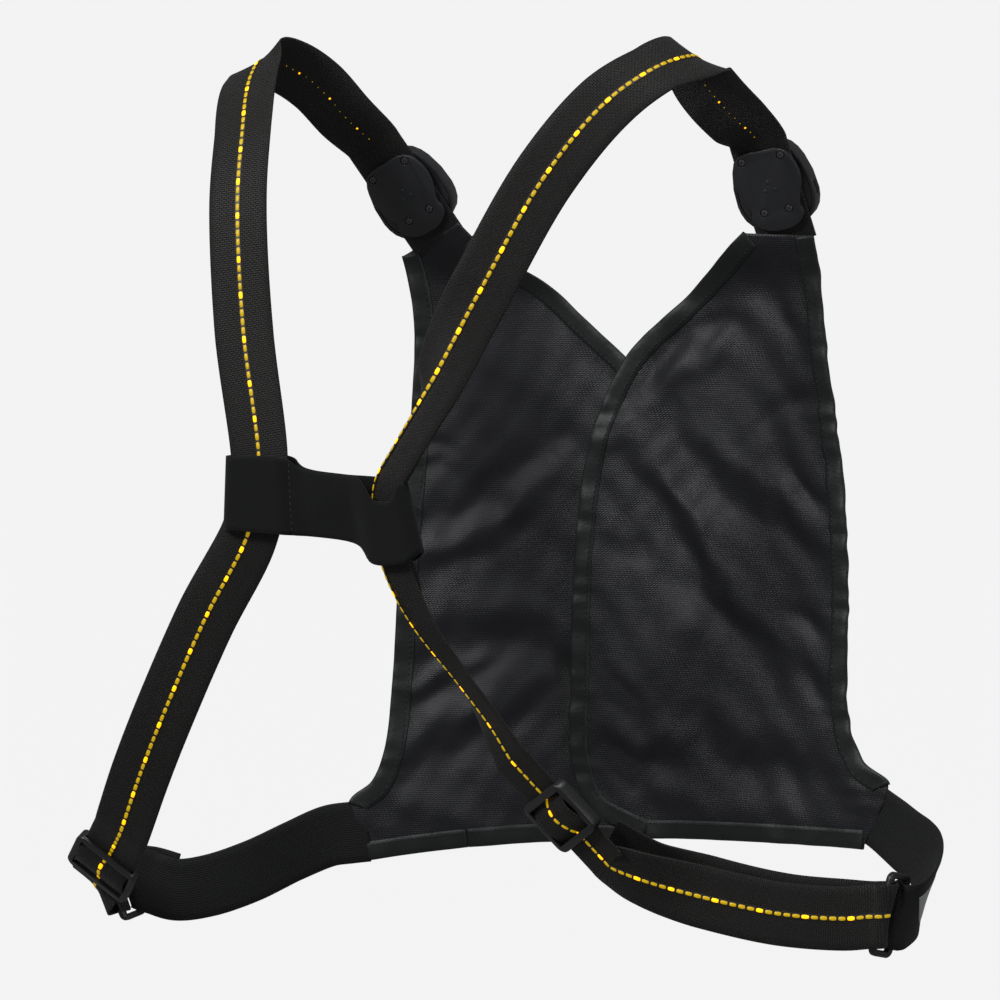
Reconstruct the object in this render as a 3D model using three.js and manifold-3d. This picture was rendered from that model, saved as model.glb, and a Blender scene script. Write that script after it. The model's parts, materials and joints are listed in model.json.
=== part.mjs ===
// Illuminated harness vest: a two-part chest bib, two electronics pods, lit shoulder webbing,
// a back connector sleeve, and elastic side bands joined to the webbing by rings and sliders.
// Millimetres. +X is the wearer's right, +Y is the way the wearer faces, +Z is up. The origin
// lies between the wearer's shoulders, level with the tops of the two straps.

import * as THREE from 'three';
import { mergeVertices } from 'three/addons/utils/BufferGeometryUtils.js';
import Module from 'manifold-3d';

const wasm = await Module();
wasm.setup();

// ---- driving dimensions ----

const GAP = 0.3;                   // air kept between pieces that touch
const WEBBING_WIDTH = 38;
const WEBBING_THICKNESS = 1.4;
const STRING_WIDTH = 3;
const STRING_THICKNESS = 0.6;
const STRING_GAP = 0.5;            // room between webbing and string where the webbing twists
const ELASTIC_WIDTH = 40;
const ELASTIC_THICKNESS = 1.6;
const TAPE_WIDTH = 20;             // reflective tape
const TAPE_THICKNESS = 0.6;
const CLOTH_THICKNESS = 1.2;
const BINDING_WIDTH = 11;
const BINDING_WALL = 0.6;
const PANEL_DEPTH = 105;           // how far the bib's middle lies in front of the shoulders
const PANEL_BOW = 25;              // how far the bib curves back at PANEL_HALF_WIDTH
const PANEL_HALF_WIDTH = 150;
const FOLD_X = -97;                // upright line that the left front flap folds on
const FLAP_OFFSET = 5;             // how far the left flap lies in front of the right panel

const POD_HALF_WIDTH = 22;
const POD_TOP = 24;
const POD_BOTTOM = -28.5;
const COVER_THICKNESS = 3;
const SHELL_DEPTH = 14;
const SHELL_WALL = 1.8;
const SHELL_MARGIN = 2.5;          // how far the shell reaches past the rear cover
const SCREW_PLACES = [[-13, 19], [13, 19], [-8.3, -15.5], [8.3, -15.5]];
const SCREW_HEAD_RADIUS = 2.4;
const SCREW_SHANK_RADIUS = 1.1;
const SCREW_LENGTH = 11;
const BUTTON_RADIUS = 6;
const BUTTON_TRAVEL = 1;

const SLIDER_WIDTH = 47;
const SLIDER_LENGTH = 38;
const BAR_WIDTH = 5;
const SLIDER_RAIL = 4;
const BAR_THICKNESS = 2.4;
const RING_LENGTH = 52;
const RING_END = 4;                // thickness of the ring's two short ends
const RING_BAR_SPACING = 16;
const RING_BAR_RADIUS = 2.2;

const SLEEVE_WALL = 1.4;
const SLEEVE_ROOM = 13;            // clear thickness inside the sleeve
const SLEEVE_BACK = 114;           // how far the sleeve lies behind the shoulders

// ---- materials ----

function material(name, color, roughness, metalness = 0) {
  return new THREE.MeshStandardMaterial({ name, color, roughness, metalness });
}

const webbing = material('webbing', 0x1c1a19, 0.85);
const cloth = material('cloth', 0x17171a, 0.6);
const binding = material('binding', 0x262a2a, 0.55);
const elastic = material('elastic', 0x131415, 0.9);
const sleeveKnit = material('sleeve_knit', 0x101114, 0.95);
const hookAndLoop = material('hook_and_loop', 0x0e0e10, 1.0);
const reflective = material('reflective_tape', 0x9b9b9b, 0.4, 0.2);
const lightString = material('light_string', 0xe0b800, 0.5);
const podPlastic = material('pod_plastic', 0x26272a, 0.5);
const hardwarePlastic = material('hardware_plastic', 0x2c2d2f, 0.45);
const rubber = material('rubber', 0x151515, 0.8);
const steel = material('steel', 0x2e2e30, 0.35, 0.9);
const circuit = material('circuit_board', 0x1d4a2a, 0.6);
const battery = material('battery', 0x8d9296, 0.4, 0.3);
const clearPlastic = material('clear_plastic', 0xd8d8d0, 0.15);

// ---- small tools ----

const vec = (x, y, z) => new THREE.Vector3(x, y, z);
const vest = new THREE.Group();

function add(name, geometry, finish, parent = vest) {
  const mesh = new THREE.Mesh(geometry, finish);
  mesh.name = name;
  parent.add(mesh);
  return mesh;
}

function signedVolume(positions, index) {
  let total = 0;
  const a = vec(0, 0, 0);
  const b = vec(0, 0, 0);
  const c = vec(0, 0, 0);
  for (let i = 0; i < index.length; i += 3) {
    a.fromArray(positions, 3 * index[i]);
    b.fromArray(positions, 3 * index[i + 1]);
    c.fromArray(positions, 3 * index[i + 2]);
    total += a.dot(b.cross(c));
  }
  return total;
}

// A thin closed solid between two grids of points of the same size. With wrapped = true the
// columns close on themselves, so that the solid is a tube.
function slab(front, back, wrapped = false) {
  const rows = front.length;
  const columns = front[0].length;
  const positions = [];
  for (const grid of [front, back]) {
    for (const row of grid) {
      for (const point of row) positions.push(point.x, point.y, point.z);
    }
  }
  const at = (side, row, column) => (side * rows + row) * columns + (column % columns);
  const index = [];
  const quad = (a, b, c, d) => index.push(a, b, c, a, c, d);
  const steps = wrapped ? columns : columns - 1;
  for (let row = 0; row < rows - 1; row++) {
    for (let column = 0; column < steps; column++) {
      const next = column + 1;
      quad(at(0, row, column), at(0, row, next), at(0, row + 1, next), at(0, row + 1, column));
      quad(at(1, row, column), at(1, row + 1, column), at(1, row + 1, next), at(1, row, next));
    }
    if (!wrapped) {
      const last = columns - 1;
      quad(at(0, row, 0), at(0, row + 1, 0), at(1, row + 1, 0), at(1, row, 0));
      quad(at(0, row, last), at(1, row, last), at(1, row + 1, last), at(0, row + 1, last));
    }
  }
  const end = rows - 1;
  for (let column = 0; column < steps; column++) {
    const next = column + 1;
    quad(at(0, 0, column), at(1, 0, column), at(1, 0, next), at(0, 0, next));
    quad(at(0, end, column), at(0, end, next), at(1, end, next), at(1, end, column));
  }
  if (signedVolume(positions, index) < 0) index.reverse();
  const geometry = new THREE.BufferGeometry();
  geometry.setAttribute('position', new THREE.Float32BufferAttribute(positions, 3));
  geometry.setIndex(index);
  return geometry;
}

function toSolid(geometry) {
  const bare = geometry.clone();
  bare.deleteAttribute('normal');
  bare.deleteAttribute('uv');
  const merged = mergeVertices(bare, 1e-4);
  return new wasm.Manifold(new wasm.Mesh({
    numProp: 3,
    vertProperties: new Float32Array(merged.attributes.position.array),
    triVerts: new Uint32Array(merged.index.array),
  }));
}

function toGeometry(solid) {
  const mesh = solid.getMesh();
  const geometry = new THREE.BufferGeometry();
  geometry.setAttribute('position', new THREE.BufferAttribute(mesh.vertProperties, 3));
  geometry.setIndex(new THREE.BufferAttribute(mesh.triVerts, 1));
  return geometry;
}

function cut(geometry, tools) {
  let solid = toSolid(geometry);
  for (const tool of tools) solid = solid.subtract(toSolid(tool));
  return toGeometry(solid);
}

function join(geometries) {
  let solid = toSolid(geometries[0]);
  for (const other of geometries.slice(1)) solid = solid.add(toSolid(other));
  return toGeometry(solid);
}

// A round bar or bore along z, from z = low to z = high.
function post(radius, low, high, x = 0, y = 0, sides = 12) {
  const geometry = new THREE.CylinderGeometry(radius, radius, high - low, sides);
  geometry.rotateX(Math.PI / 2);
  geometry.translate(x, y, (low + high) / 2);
  return geometry;
}

function block(x0, x1, y0, y1, z0, z1) {
  const geometry = new THREE.BoxGeometry(x1 - x0, y1 - y0, z1 - z0);
  geometry.translate((x0 + x1) / 2, (y0 + y1) / 2, (z0 + z1) / 2);
  return geometry;
}

// An outline extruded along z, with its edge rounded by `round` at both ends.
function plate(shape, low, high, round = 0, curveSegments = 6) {
  const geometry = new THREE.ExtrudeGeometry(shape, {
    depth: high - low - 2 * round,
    bevelEnabled: round > 0,
    bevelThickness: round,
    bevelSize: round,
    bevelOffset: -round,
    bevelSegments: 2,
    curveSegments,
  });
  geometry.translate(0, 0, low + round);
  return geometry;
}

function roundedRectangle(width, height, radius) {
  const x = width / 2;
  const y = height / 2;
  const outline = new THREE.Shape();
  outline.moveTo(-x + radius, -y);
  outline.lineTo(x - radius, -y);
  outline.absarc(x - radius, -y + radius, radius, -Math.PI / 2, 0);
  outline.lineTo(x, y - radius);
  outline.absarc(x - radius, y - radius, radius, 0, Math.PI / 2);
  outline.lineTo(-x + radius, y);
  outline.absarc(-x + radius, y - radius, radius, Math.PI / 2, Math.PI);
  outline.lineTo(-x, -y + radius);
  outline.absarc(-x + radius, -y + radius, radius, Math.PI, 1.5 * Math.PI);
  return outline;
}

// ---- straps: a band of webbing that follows a route ----

// A route is a list of stops. Each stop holds the place of the band's middle, the direction
// across the band, and how far each half is folded back from flat, in degrees.
function stop(place, across, fold = 0) {
  return { place: vec(...place), across: vec(...across), fold };
}

// Places the band along its route, `steps` stations to each span.
function layRoute(stops, steps = 3) {
  const middle = new THREE.CatmullRomCurve3(stops.map((s) => s.place), false, 'centripetal');
  const spans = stops.length - 1;
  const stations = [];
  for (let i = 0; i <= spans * steps; i++) {
    const t = i / (spans * steps);
    const span = Math.min(Math.floor(i / steps), spans - 1);
    const part = i / steps - span;
    const from = stops[span];
    const to = stops[span + 1];
    const along = middle.getTangent(t);
    const across = from.across.clone().lerp(to.across, part);
    across.addScaledVector(along, -across.dot(along)).normalize();
    const outward = along.clone().cross(across);
    const fold = THREE.MathUtils.degToRad(THREE.MathUtils.lerp(from.fold, to.fold, part));
    stations.push({ place: middle.getPoint(t), along, across, outward, fold });
  }
  return stations;
}

// A point of a station, `side` across from the middle and `height` out of the band's face.
function stationPoint(station, side, height) {
  const { place, across, outward, fold } = station;
  const lean = Math.sign(side) * fold;
  const run = side * Math.cos(fold) + height * Math.sin(lean);
  const rise = height * (side === 0 ? 1 : Math.cos(fold)) - Math.abs(side) * Math.sin(fold);
  return place.clone().addScaledVector(across, run).addScaledVector(outward, rise);
}

// The solid band of the given width, from height `low` to height `high` over its middle plane.
function band(stations, width, low, high) {
  const sides = [-width / 2, 0, width / 2];
  const face = (height) => stations.map((s) => sides.map((side) => stationPoint(s, side, height)));
  return slab(face(high), face(low));
}

// ---- frames that pieces are built in ----

// A group whose x, y and z axes are `across`, `along` and across x along.
function frameGroup(place, across, along) {
  const x = across.clone().addScaledVector(along, -across.dot(along)).normalize();
  const z = x.clone().cross(along);
  const group = new THREE.Group();
  group.matrixAutoUpdate = false;
  group.matrix.makeBasis(x, along, z).setPosition(place);
  vest.add(group);
  return group;
}

const podUp = { left: vec(-0.48, -0.3, 0.825).normalize(), right: vec(-0.2, -0.3, 0.93).normalize() };
const podAcross = { left: vec(0.88, -0.06, 0.49), right: vec(0.97, -0.05, 0.22) };
const podPlace = { left: vec(-129.6, 70, -84.5), right: vec(117, 67, -77) };

const sliderAlong = { left: vec(-0.55, 0.62, -0.56).normalize(), right: vec(0.655, 0.195, -0.73).normalize() };
const sliderAcross = { left: vec(0.711, 0.224, -0.667), right: vec(0.687, -0.567, 0.46) };
const sliderPlace = { left: vec(-292, -42, -511), right: vec(36.3, -80, -455) };

const ringAxis = { left: vec(0.32, 0.07, -0.94).normalize(), right: vec(-0.2, -0.17, -0.96).normalize() };
const ringSpan = { left: vec(0.443, 0.871, 0.213), right: vec(0.327, 0.917, -0.229) };
const ringPlace = { left: vec(-300.5, -14, -527), right: vec(226, -40, -509.5) };

// ---- the webbing's two routes, from the bib over the shoulder to the waist ring ----

function straight(place, along, distances, across) {
  return distances.map((distance) => {
    const point = place.clone().addScaledVector(along, distance);
    return { place: point, across, fold: 0 };
  });
}

const leftRoute = [
  ...straight(podPlace.left, podUp.left, [-47, -40, -36, 36, 40], podAcross.left),
  stop([-160, 43, -36], [0.8, 0.15, 0.55]),
  stop([-173, 26, -15.5], [0.76, 0.3, 0.57]),
  stop([-185, 8, -3.5], [0.73, 0.33, 0.59]),
  stop([-194, -10, 0], [0.74, 0.33, 0.56]),
  stop([-193, -27, -8], [0.82, 0.25, 0.4]),
  stop([-190, -42, -20], [0.93, 0.1, 0.2]),
  stop([-183, -63, -42], [0.99, -0.05, 0.04]),
  stop([-176, -86, -87], [1, 0, 0]),
  stop([-165, -102, -164], [1, 0.05, 0]),
  stop([-149.5, -113.5, -243], [1, -0.03, 0.02]),
  stop([-151, -114.3, -265], [1, -0.03, -0.05], 5),
  stop([-158, -113.6, -290], [0.97, -0.02, -0.25], 5),
  stop([-190, -106, -342], [0.9, 0.15, -0.4]),
  stop([-224, -96, -405], [0.85, 0.2, -0.45]),
  stop([-246, -84, -445], [0.8, 0.22, -0.52]),
  ...straight(sliderPlace.left, sliderAlong.left, [-46, -42, 24, 27], sliderAcross.left),
  stop([-308.2, -19, -529.5], [0.45, 0.12, -0.88]),
  stop([-306, -12, -529.2], [0.33, 0.07, -0.94]),
  stop([-300, -8.6, -527.2], [0.32, 0.07, -0.94]),
  stop([-295.2, -12.5, -526], [0.32, 0.07, -0.94]),
  stop([-295, -20, -525.5], [0.36, 0.08, -0.93]),
  stop([-296, -27, -525.5], [0.5, 0.12, -0.85]),
];

const rightRoute = [
  ...straight(podPlace.right, podUp.right, [-47, -40, -36, 27, 31], podAcross.right),
  stop([104.5, 42, -37.5], [0.8, 0.22, 0.5]),
  stop([95.5, 24, -22.5], [0.74, 0.3, 0.56]),
  stop([91, 9, -9.5], [0.88, 0.38, 0.15]),
  stop([95.5, -7, 1.5], [0.82, 0.28, -0.5]),
  stop([94, -24, 2.5], [0.75, 0.1, -0.6]),
  stop([83, -48, -4], [0.61, -0.42, -0.67]),
  stop([61, -73, -24], [0.74, 0, -0.67]),
  stop([29, -92, -68], [0.76, 0.25, -0.6]),
  stop([-6, -108, -136], [0.86, 0.31, -0.41]),
  stop([-33, -114, -188], [0.86, -0.2, -0.45], 18),
  stop([-45, -115, -208], [0.62, -0.65, -0.4], 44),
  stop([-58, -116.5, -230], [0.2, -0.95, -0.2], 74),
  stop([-72, -115, -254], [0.06, -1, 0], 82),
  stop([-72.5, -114.3, -276], [0.04, -1, 0], 82),
  stop([-68, -115.3, -300], [0.1, -1, 0.05], 83),
  stop([-62, -112.5, -318], [0.2, -0.95, 0.1], 70),
  stop([-50, -104, -343], [0.42, -0.87, 0.2], 36),
  stop([-26.5, -94.5, -375], [0.47, -0.84, 0.25], 15),
  stop([-5.5, -91.5, -402], [0.58, -0.72, 0.38], 3),
  ...straight(sliderPlace.right, sliderAlong.right, [-45, -41, 38, 42], sliderAcross.right),
  stop([84, -74, -492], [0.5, -0.3, 0.7]),
  stop([121, -70, -501], [0.3, 0.05, 0.92]),
  stop([168, -61, -510], [0.22, 0.15, 0.96]),
  stop([205, -49.5, -512.5], [0.2, 0.17, 0.96]),
  stop([220, -46, -511], [0.2, 0.17, 0.96]),
  stop([228, -44.8, -510.5], [0.2, 0.17, 0.96]),
  stop([231, -40, -510], [0.2, 0.17, 0.96]),
  stop([227.5, -35.2, -510], [0.2, 0.17, 0.96]),
  stop([219, -35.5, -510.5], [0.2, 0.17, 0.96]),
  stop([204, -40, -509.5], [0.2, 0.17, 0.96]),
  stop([168, -50, -506.5], [0.22, 0.15, 0.96]),
  stop([123, -58.5, -497], [0.3, 0.05, 0.92]),
  stop([90, -61.5, -487], [0.5, -0.3, 0.7]),
  stop([62, -66, -468], sliderAcross.right.toArray()),
];

// Light string stops: it starts above the pod's shell and ends where the webbing turns back.
const STRING_STARTS_AT = 5;
const leftStringEnd = leftRoute.length - 6;
const rightStringEnd = rightRoute.length - 9;

function makeStrap(side, route) {
  const half = WEBBING_THICKNESS / 2;
  const strap = toSolid(band(layRoute(route), WEBBING_WIDTH, -half, half));
  const pod = frameGroup(podPlace[side], podAcross[side], podUp[side]);
  const holes = SCREW_PLACES.map(([x, y]) => {
    const hole = post(SCREW_SHANK_RADIUS + 0.5, -4, 4, x, y, 8);
    hole.applyMatrix4(pod.matrix);
    return toSolid(hole);
  });
  const pierced = holes.reduce((solid, hole) => solid.subtract(hole), strap);
  add(`${side}_webbing_strap`, toGeometry(pierced), webbing);
}

function makeLightString(side, route, end) {
  const low = WEBBING_THICKNESS / 2 + STRING_GAP;
  const stations = layRoute(route).slice(STRING_STARTS_AT * 3, end * 3 + 1);
  add(`${side}_light_string`, band(stations, STRING_WIDTH, low, low + STRING_THICKNESS), lightString);
}

makeStrap('left', leftRoute);
makeStrap('right', rightRoute);
makeLightString('left', leftRoute, leftStringEnd);
makeLightString('right', rightRoute, rightStringEnd);

// ---- elastic side bands, with reflective tape on their outer face ----

const leftBandRoute = [
  stop([-170.8, 71.5, -499], [-0.29, -0.11, 0.95]),
  stop([-182, 63.5, -500.5], [-0.05, 0, 1]),
  stop([-200, 48, -509], [0.2, 0.12, 0.96]),
  stop([-222, 28, -521], [0.1, 0.1, 0.98]),
  stop([-244, 11, -529], [0, 0.05, 1]),
  stop([-262, 0, -531], [-0.05, 0, 1]),
  stop([-278, -3, -527], [-0.2, -0.03, 0.98]),
  stop([-288, -5.2, -523.5], [-0.32, -0.07, 0.94]),
  stop([-296.5, -4.8, -525], [-0.32, -0.07, 0.94]),
  stop([-299.2, 1.2, -525.5], [-0.32, -0.07, 0.94]),
  stop([-293.5, 6, -523], [-0.32, -0.07, 0.94]),
  stop([-284, 4.5, -524], [-0.25, -0.05, 0.96]),
  stop([-268, 8, -528.5], [-0.1, 0, 1]),
];

const rightBandRoute = [
  stop([191.5, 64.3, -469], [-0.41, 0.17, -0.89]),
  stop([202, 58, -474], [-0.4, 0.08, -0.9]),
  stop([213, 49.5, -479], [-0.4, 0.02, -0.9]),
  stop([225, 38.5, -483], [-0.4, 0, -0.9]),
  stop([235, 24, -487.5], [-0.4, 0, -0.9]),
  stop([240.5, 9, -496], [-0.36, -0.02, -0.93]),
  stop([242.5, -5, -504], [-0.31, -0.06, -0.95]),
  stop([240.5, -18, -511], [-0.25, -0.12, -0.96]),
  stop([234.5, -29.5, -513.2], [-0.2, -0.17, -0.96]),
  stop([228, -30.5, -511.7], [-0.2, -0.17, -0.96]),
  stop([225.3, -25, -512.1], [-0.2, -0.17, -0.96]),
  stop([227.5, -14, -511.5], [-0.2, -0.17, -0.96]),
];

function makeSideBand(side, route) {
  const half = ELASTIC_THICKNESS / 2;
  add(`${side}_elastic_band`, band(layRoute(route), ELASTIC_WIDTH, -half, half), elastic);
  const tape = layRoute(route).slice(3, 20);
  const low = half + 1.5 * GAP;
  add(`${side}_reflective_tape`, band(tape, TAPE_WIDTH, low, low + TAPE_THICKNESS), reflective);
}

makeSideBand('left', leftBandRoute);
makeSideBand('right', rightBandRoute);

// ---- the bib: thin cloth on one bowed surface ----

const bibDepth = (x) => PANEL_DEPTH - PANEL_BOW * (x / PANEL_HALF_WIDTH) ** 2;
const bibNormal = (x) => vec((2 * PANEL_BOW * x) / PANEL_HALF_WIDTH ** 2, 1, 0).normalize();

// Corresponding points [x, z] of the two edges of each piece, from the hem to the top.
const closureEdge = [
  [20, -495], [-16, -478], [-28, -450], [-29, -390], [-26, -310], [-17, -245], [8, -188],
  [48, -151], [97, -112],
];
const rightArmhole = [
  [179, -488], [196, -447], [177, -434], [166, -408], [165, -345], [163, -280], [154, -215],
  [146, -160], [137, -112],
];
const leftArmhole = [
  [-160, -516], [-171, -480], [-157, -466], [-149, -445], [-144, -400], [-139, -310],
  [-130, -190], [-125, -119],
];
const leftFold = [
  [FOLD_X, -506], [FOLD_X, -484], [FOLD_X, -468], [FOLD_X, -447], [FOLD_X, -400],
  [FOLD_X, -310], [FOLD_X, -190], [FOLD_X, -119],
];
const flapHem = [[FOLD_X, -506], [-77, -504], [-51, -502], [-24, -501], [14, -500]];
const flapNeck = [[FOLD_X, -119], [-77, -128], [-51, -144], [-24, -165], [14, -198]];

const flat = (points) => points.map(([x, z]) => vec(x, 0, z));
const smooth = (points) => new THREE.CatmullRomCurve3(flat(points), false, 'centripetal');

// Edges of cloth and binding share these stations, so that one follows the other exactly.
const EDGE_STEPS = 3;

function alongEdge(points) {
  const curve = smooth(points);
  const count = (points.length - 1) * EDGE_STEPS;
  return Array.from({ length: count + 1 }, (_, i) => curve.getPoint(i / count));
}

// How far a piece is set forward of the bib's surface at x.
const onSurface = () => 0;
const flapForward = (x) => FLAP_OFFSET * THREE.MathUtils.smoothstep(x, FOLD_X + 5, -40);

function surfacePoint(x, z, forward, height) {
  return vec(x, bibDepth(x) + forward(x), z).addScaledVector(bibNormal(x), height);
}

// Cloth between two edges. `trim` shortens the start of each row, to leave a fold line free.
function clothPiece(name, fromEdge, toEdge, forward, columns = 12, trim = 0) {
  const from = alongEdge(fromEdge);
  const to = alongEdge(toEdge);
  const grid = (height) => from.map((start, row) => {
    const reach = start.distanceTo(to[row]);
    return Array.from({ length: columns + 1 }, (_, i) => {
      const part = THREE.MathUtils.lerp(trim / reach, 1, i / columns);
      const point = start.clone().lerp(to[row], part);
      return surfacePoint(point.x, point.z, forward, height);
    });
  });
  const half = CLOTH_THICKNESS / 2;
  add(name, slab(grid(half), grid(-half)), cloth);
}

clothPiece('right_front_panel', closureEdge, rightArmhole, onSurface);
clothPiece('left_side_panel', leftFold, leftArmhole, onSurface, 4, GAP);

// The left front flap runs from the fold line to its free edge, in upright strips.
function makeLeftFlap() {
  const half = CLOTH_THICKNESS / 2;
  const hem = alongEdge(flapHem);
  const neck = alongEdge(flapNeck);
  const rows = 8;
  const grid = (height) => hem.map((foot, column) => {
    const head = neck[column];
    const x = column === 0 ? FOLD_X + 3 * GAP : foot.x;
    return Array.from({ length: rows + 1 }, (_, i) => {
      const z = THREE.MathUtils.lerp(foot.z, head.z, i / rows);
      return surfacePoint(x, z, flapForward, height);
    });
  });
  add('left_front_flap', slab(grid(half), grid(-half)), cloth);
}

makeLeftFlap();

// ---- binding tape: a channel folded over an edge ----

// `inward` is +1 or -1: the side of the edge, seen from behind, that the cloth lies on. The tape
// runs from step `first` to step `last` of the edge.
function bindEdge(name, points, forward, inward, first, last) {
  const curve = smooth(points);
  const count = EDGE_STEPS * (points.length - 1);
  const leg = CLOTH_THICKNESS / 2 + GAP;
  const rim = leg + BINDING_WALL;
  const steps = [first];
  for (let step = Math.floor(first) + 1; step < last; step++) steps.push(step);
  steps.push(last);
  const outline = (lip, height) => [
    [BINDING_WIDTH, -height], [-lip, -height], [-lip, height], [BINDING_WIDTH, height],
  ];
  const grid = (section) => steps.map((step) => {
    const place = curve.getPoint(step / count);
    const tangent = curve.getTangent(step / count);
    const normal = bibNormal(place.x);
    const into = vec(-tangent.z, 0, tangent.x).multiplyScalar(inward);
    return section.map(([reach, height]) => {
      const x = place.x + into.x * reach;
      const z = place.z + into.z * reach;
      return vec(x, bibDepth(x) + forward(x), z).addScaledVector(normal, height);
    });
  });
  const outer = grid(outline(2 * GAP + BINDING_WALL, rim));
  const inner = grid(outline(2 * GAP, leg));
  add(name, slab(outer, inner), binding);
}

// A straight edge as a chain of evenly spaced points.
function straightEdge([x0, z0], [x1, z1], parts) {
  return Array.from({ length: parts + 1 }, (_, i) => [
    THREE.MathUtils.lerp(x0, x1, i / parts), THREE.MathUtils.lerp(z0, z1, i / parts),
  ]);
}

const rightHem = straightEdge(closureEdge[0], rightArmhole[0], 4);
const sideHem = straightEdge(leftArmhole[0], leftFold[0], 2);
const flapEdge = straightEdge(flapHem.at(-1), flapNeck.at(-1), 2);

bindEdge('right_armhole_binding', rightArmhole, onSurface, 1, 3.4, 24);
bindEdge('left_armhole_binding', leftArmhole, onSurface, -1, 3.4, 21);
bindEdge('closure_edge_binding', closureEdge, onSurface, -1, 0, 24);
bindEdge('right_hem_binding', rightHem, onSurface, 1, 0.8, 11.6);
bindEdge('left_neck_binding', flapNeck, flapForward, -1, 1, 11.3);
bindEdge('left_side_hem_binding', sideHem, onSurface, 1, 0.3, 5.7);
bindEdge('left_flap_hem_binding', flapHem, flapForward, 1, 0.3, 10.4);
bindEdge('left_flap_edge_binding', flapEdge, flapForward, 1, 0.3, 5.8);

// ---- hook strip and loop strip between the overlapped fronts ----

function closureStrip(name, x0, x1, z0, z1, low, high) {
  const corners = [[x0, z0], [x1, z0]];
  const grid = (height) => corners.map(([x]) => [z0, z1].map((z) => (
    surfacePoint(x, z, onSurface, height))));
  add(name, slab(grid(high), grid(low)), hookAndLoop);
}

const CLOSURE_STRIP_TOP = -290;
const CLOSURE_STRIP_FOOT = -450;
const stripBase = CLOTH_THICKNESS / 2 + GAP;
const stripMiddle = FLAP_OFFSET / 2;
const stripCeiling = FLAP_OFFSET - stripBase;
closureStrip('hook_strip', -12, 4, CLOSURE_STRIP_FOOT, CLOSURE_STRIP_TOP, stripBase,
  stripMiddle - GAP / 2);
closureStrip('loop_strip', -14, 2, CLOSURE_STRIP_FOOT, CLOSURE_STRIP_TOP, stripMiddle + GAP / 2,
  stripCeiling);

// ---- back connector sleeve: a flat elastic tube around both straps ----

function makeSleeve() {
  const levels = [
    { leftZ: -287, rightZ: -301, leftEnd: -181, rightEnd: -41 },
    { leftZ: -265, rightZ: -275, leftEnd: -173, rightEnd: -43 },
    { leftZ: -243, rightZ: -250, leftEnd: -171, rightEnd: -42 },
  ];
  const turn = 5;
  const y = -SLEEVE_BACK;
  const inside = SLEEVE_ROOM / 2;
  const outside = inside + SLEEVE_WALL;
  const grid = (radius) => levels.map(({ leftZ, rightZ, leftEnd, rightEnd }) => {
    const arc = (x, side) => Array.from({ length: turn }, (_, i) => {
      const angle = Math.PI * (i / (turn - 1) - 0.5);
      return [x + side * radius * Math.cos(angle), side * radius * Math.sin(angle)];
    });
    const ring = [...arc(rightEnd - outside, 1), ...arc(leftEnd + outside, -1)];
    return ring.map(([x, out]) => {
      const part = (x - leftEnd) / (rightEnd - leftEnd);
      return vec(x, y + out, THREE.MathUtils.lerp(leftZ, rightZ, part));
    });
  });
  add('back_connector_sleeve', slab(grid(outside), grid(inside), true), sleeveKnit);
}

makeSleeve();

// ---- sliders and rings ----

// The webbing runs under the slider's two outer bars and over its middle bar. In the slider's own
// frame y runs along the webbing and z points out of its outer face.
function makeSlider(side) {
  const flipped = sliderAcross[side].clone().negate();
  const group = frameGroup(sliderPlace[side], flipped, sliderAlong[side]);
  const half = WEBBING_THICKNESS / 2;
  const channelTop = half + STRING_GAP + STRING_THICKNESS + 1.3 * GAP;
  const channelFloor = -half - 1.3 * GAP;
  const top = channelTop + BAR_THICKNESS;
  const floor = channelFloor - BAR_THICKNESS;
  const inside = SLIDER_WIDTH / 2 - SLIDER_RAIL;
  const middleBar = BAR_WIDTH / 2;
  const outerBar = SLIDER_LENGTH / 2 - BAR_WIDTH;
  const far = SLIDER_LENGTH;
  const body = plate(roundedRectangle(SLIDER_WIDTH, SLIDER_LENGTH, 6), floor, top, 0.8, 2);
  const shape = cut(body, [
    block(-inside, inside, -far, far, channelFloor, channelTop),
    block(-inside, inside, middleBar, far, floor - 1, 0),
    block(-inside, inside, -far, -middleBar, floor - 1, 0),
    block(-inside, inside, -outerBar, outerBar, 0, top + 1),
  ]);
  add(`${side}_slider`, shape, hardwarePlastic, group);
}

// One long bar lies on the ring's own axis, in the webbing; the other is in the elastic.
function makeRing(side) {
  const group = frameGroup(ringPlace[side], ringSpan[side], ringAxis[side]);
  const radius = RING_BAR_RADIUS;
  const outline = roundedRectangle(RING_BAR_SPACING + 2 * radius, RING_LENGTH, 5);
  const body = plate(outline, -radius, radius, 1, 3);
  body.translate(RING_BAR_SPACING / 2, 0, 0);
  const inside = RING_LENGTH / 2 - RING_END;
  const window = block(radius, RING_BAR_SPACING - radius, -inside, inside, -2 * radius, 2 * radius);
  add(`${side}_ring`, cut(body, [window]), hardwarePlastic, group);
}

for (const side of ['left', 'right']) {
  makeSlider(side);
  makeRing(side);
}

// ---- electronics pods ----

// In a pod's own frame x runs across the webbing, y up along it and z towards the wearer, with
// the webbing's middle plane at z = 0. The rear cover is on the +z side, the shell on the -z side.

const coverHalf = [
  [0, POD_TOP], [11, POD_TOP], [18, 19.5], [POD_HALF_WIDTH - 0.4, 10], [POD_HALF_WIDTH - 0.4, 1],
  [18.5, -8], [16.2, -13.5], [17.4, -19], [13.5, -25], [7, -28], [0, POD_BOTTOM],
];
const shellHalf = [
  [0, POD_TOP + SHELL_MARGIN], [13, 25.5], [21, 17], [25, 4], [25.6, -3], [25.6, -13], [21, -23],
  [10, -29], [0, POD_BOTTOM - SHELL_MARGIN],
];

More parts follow.
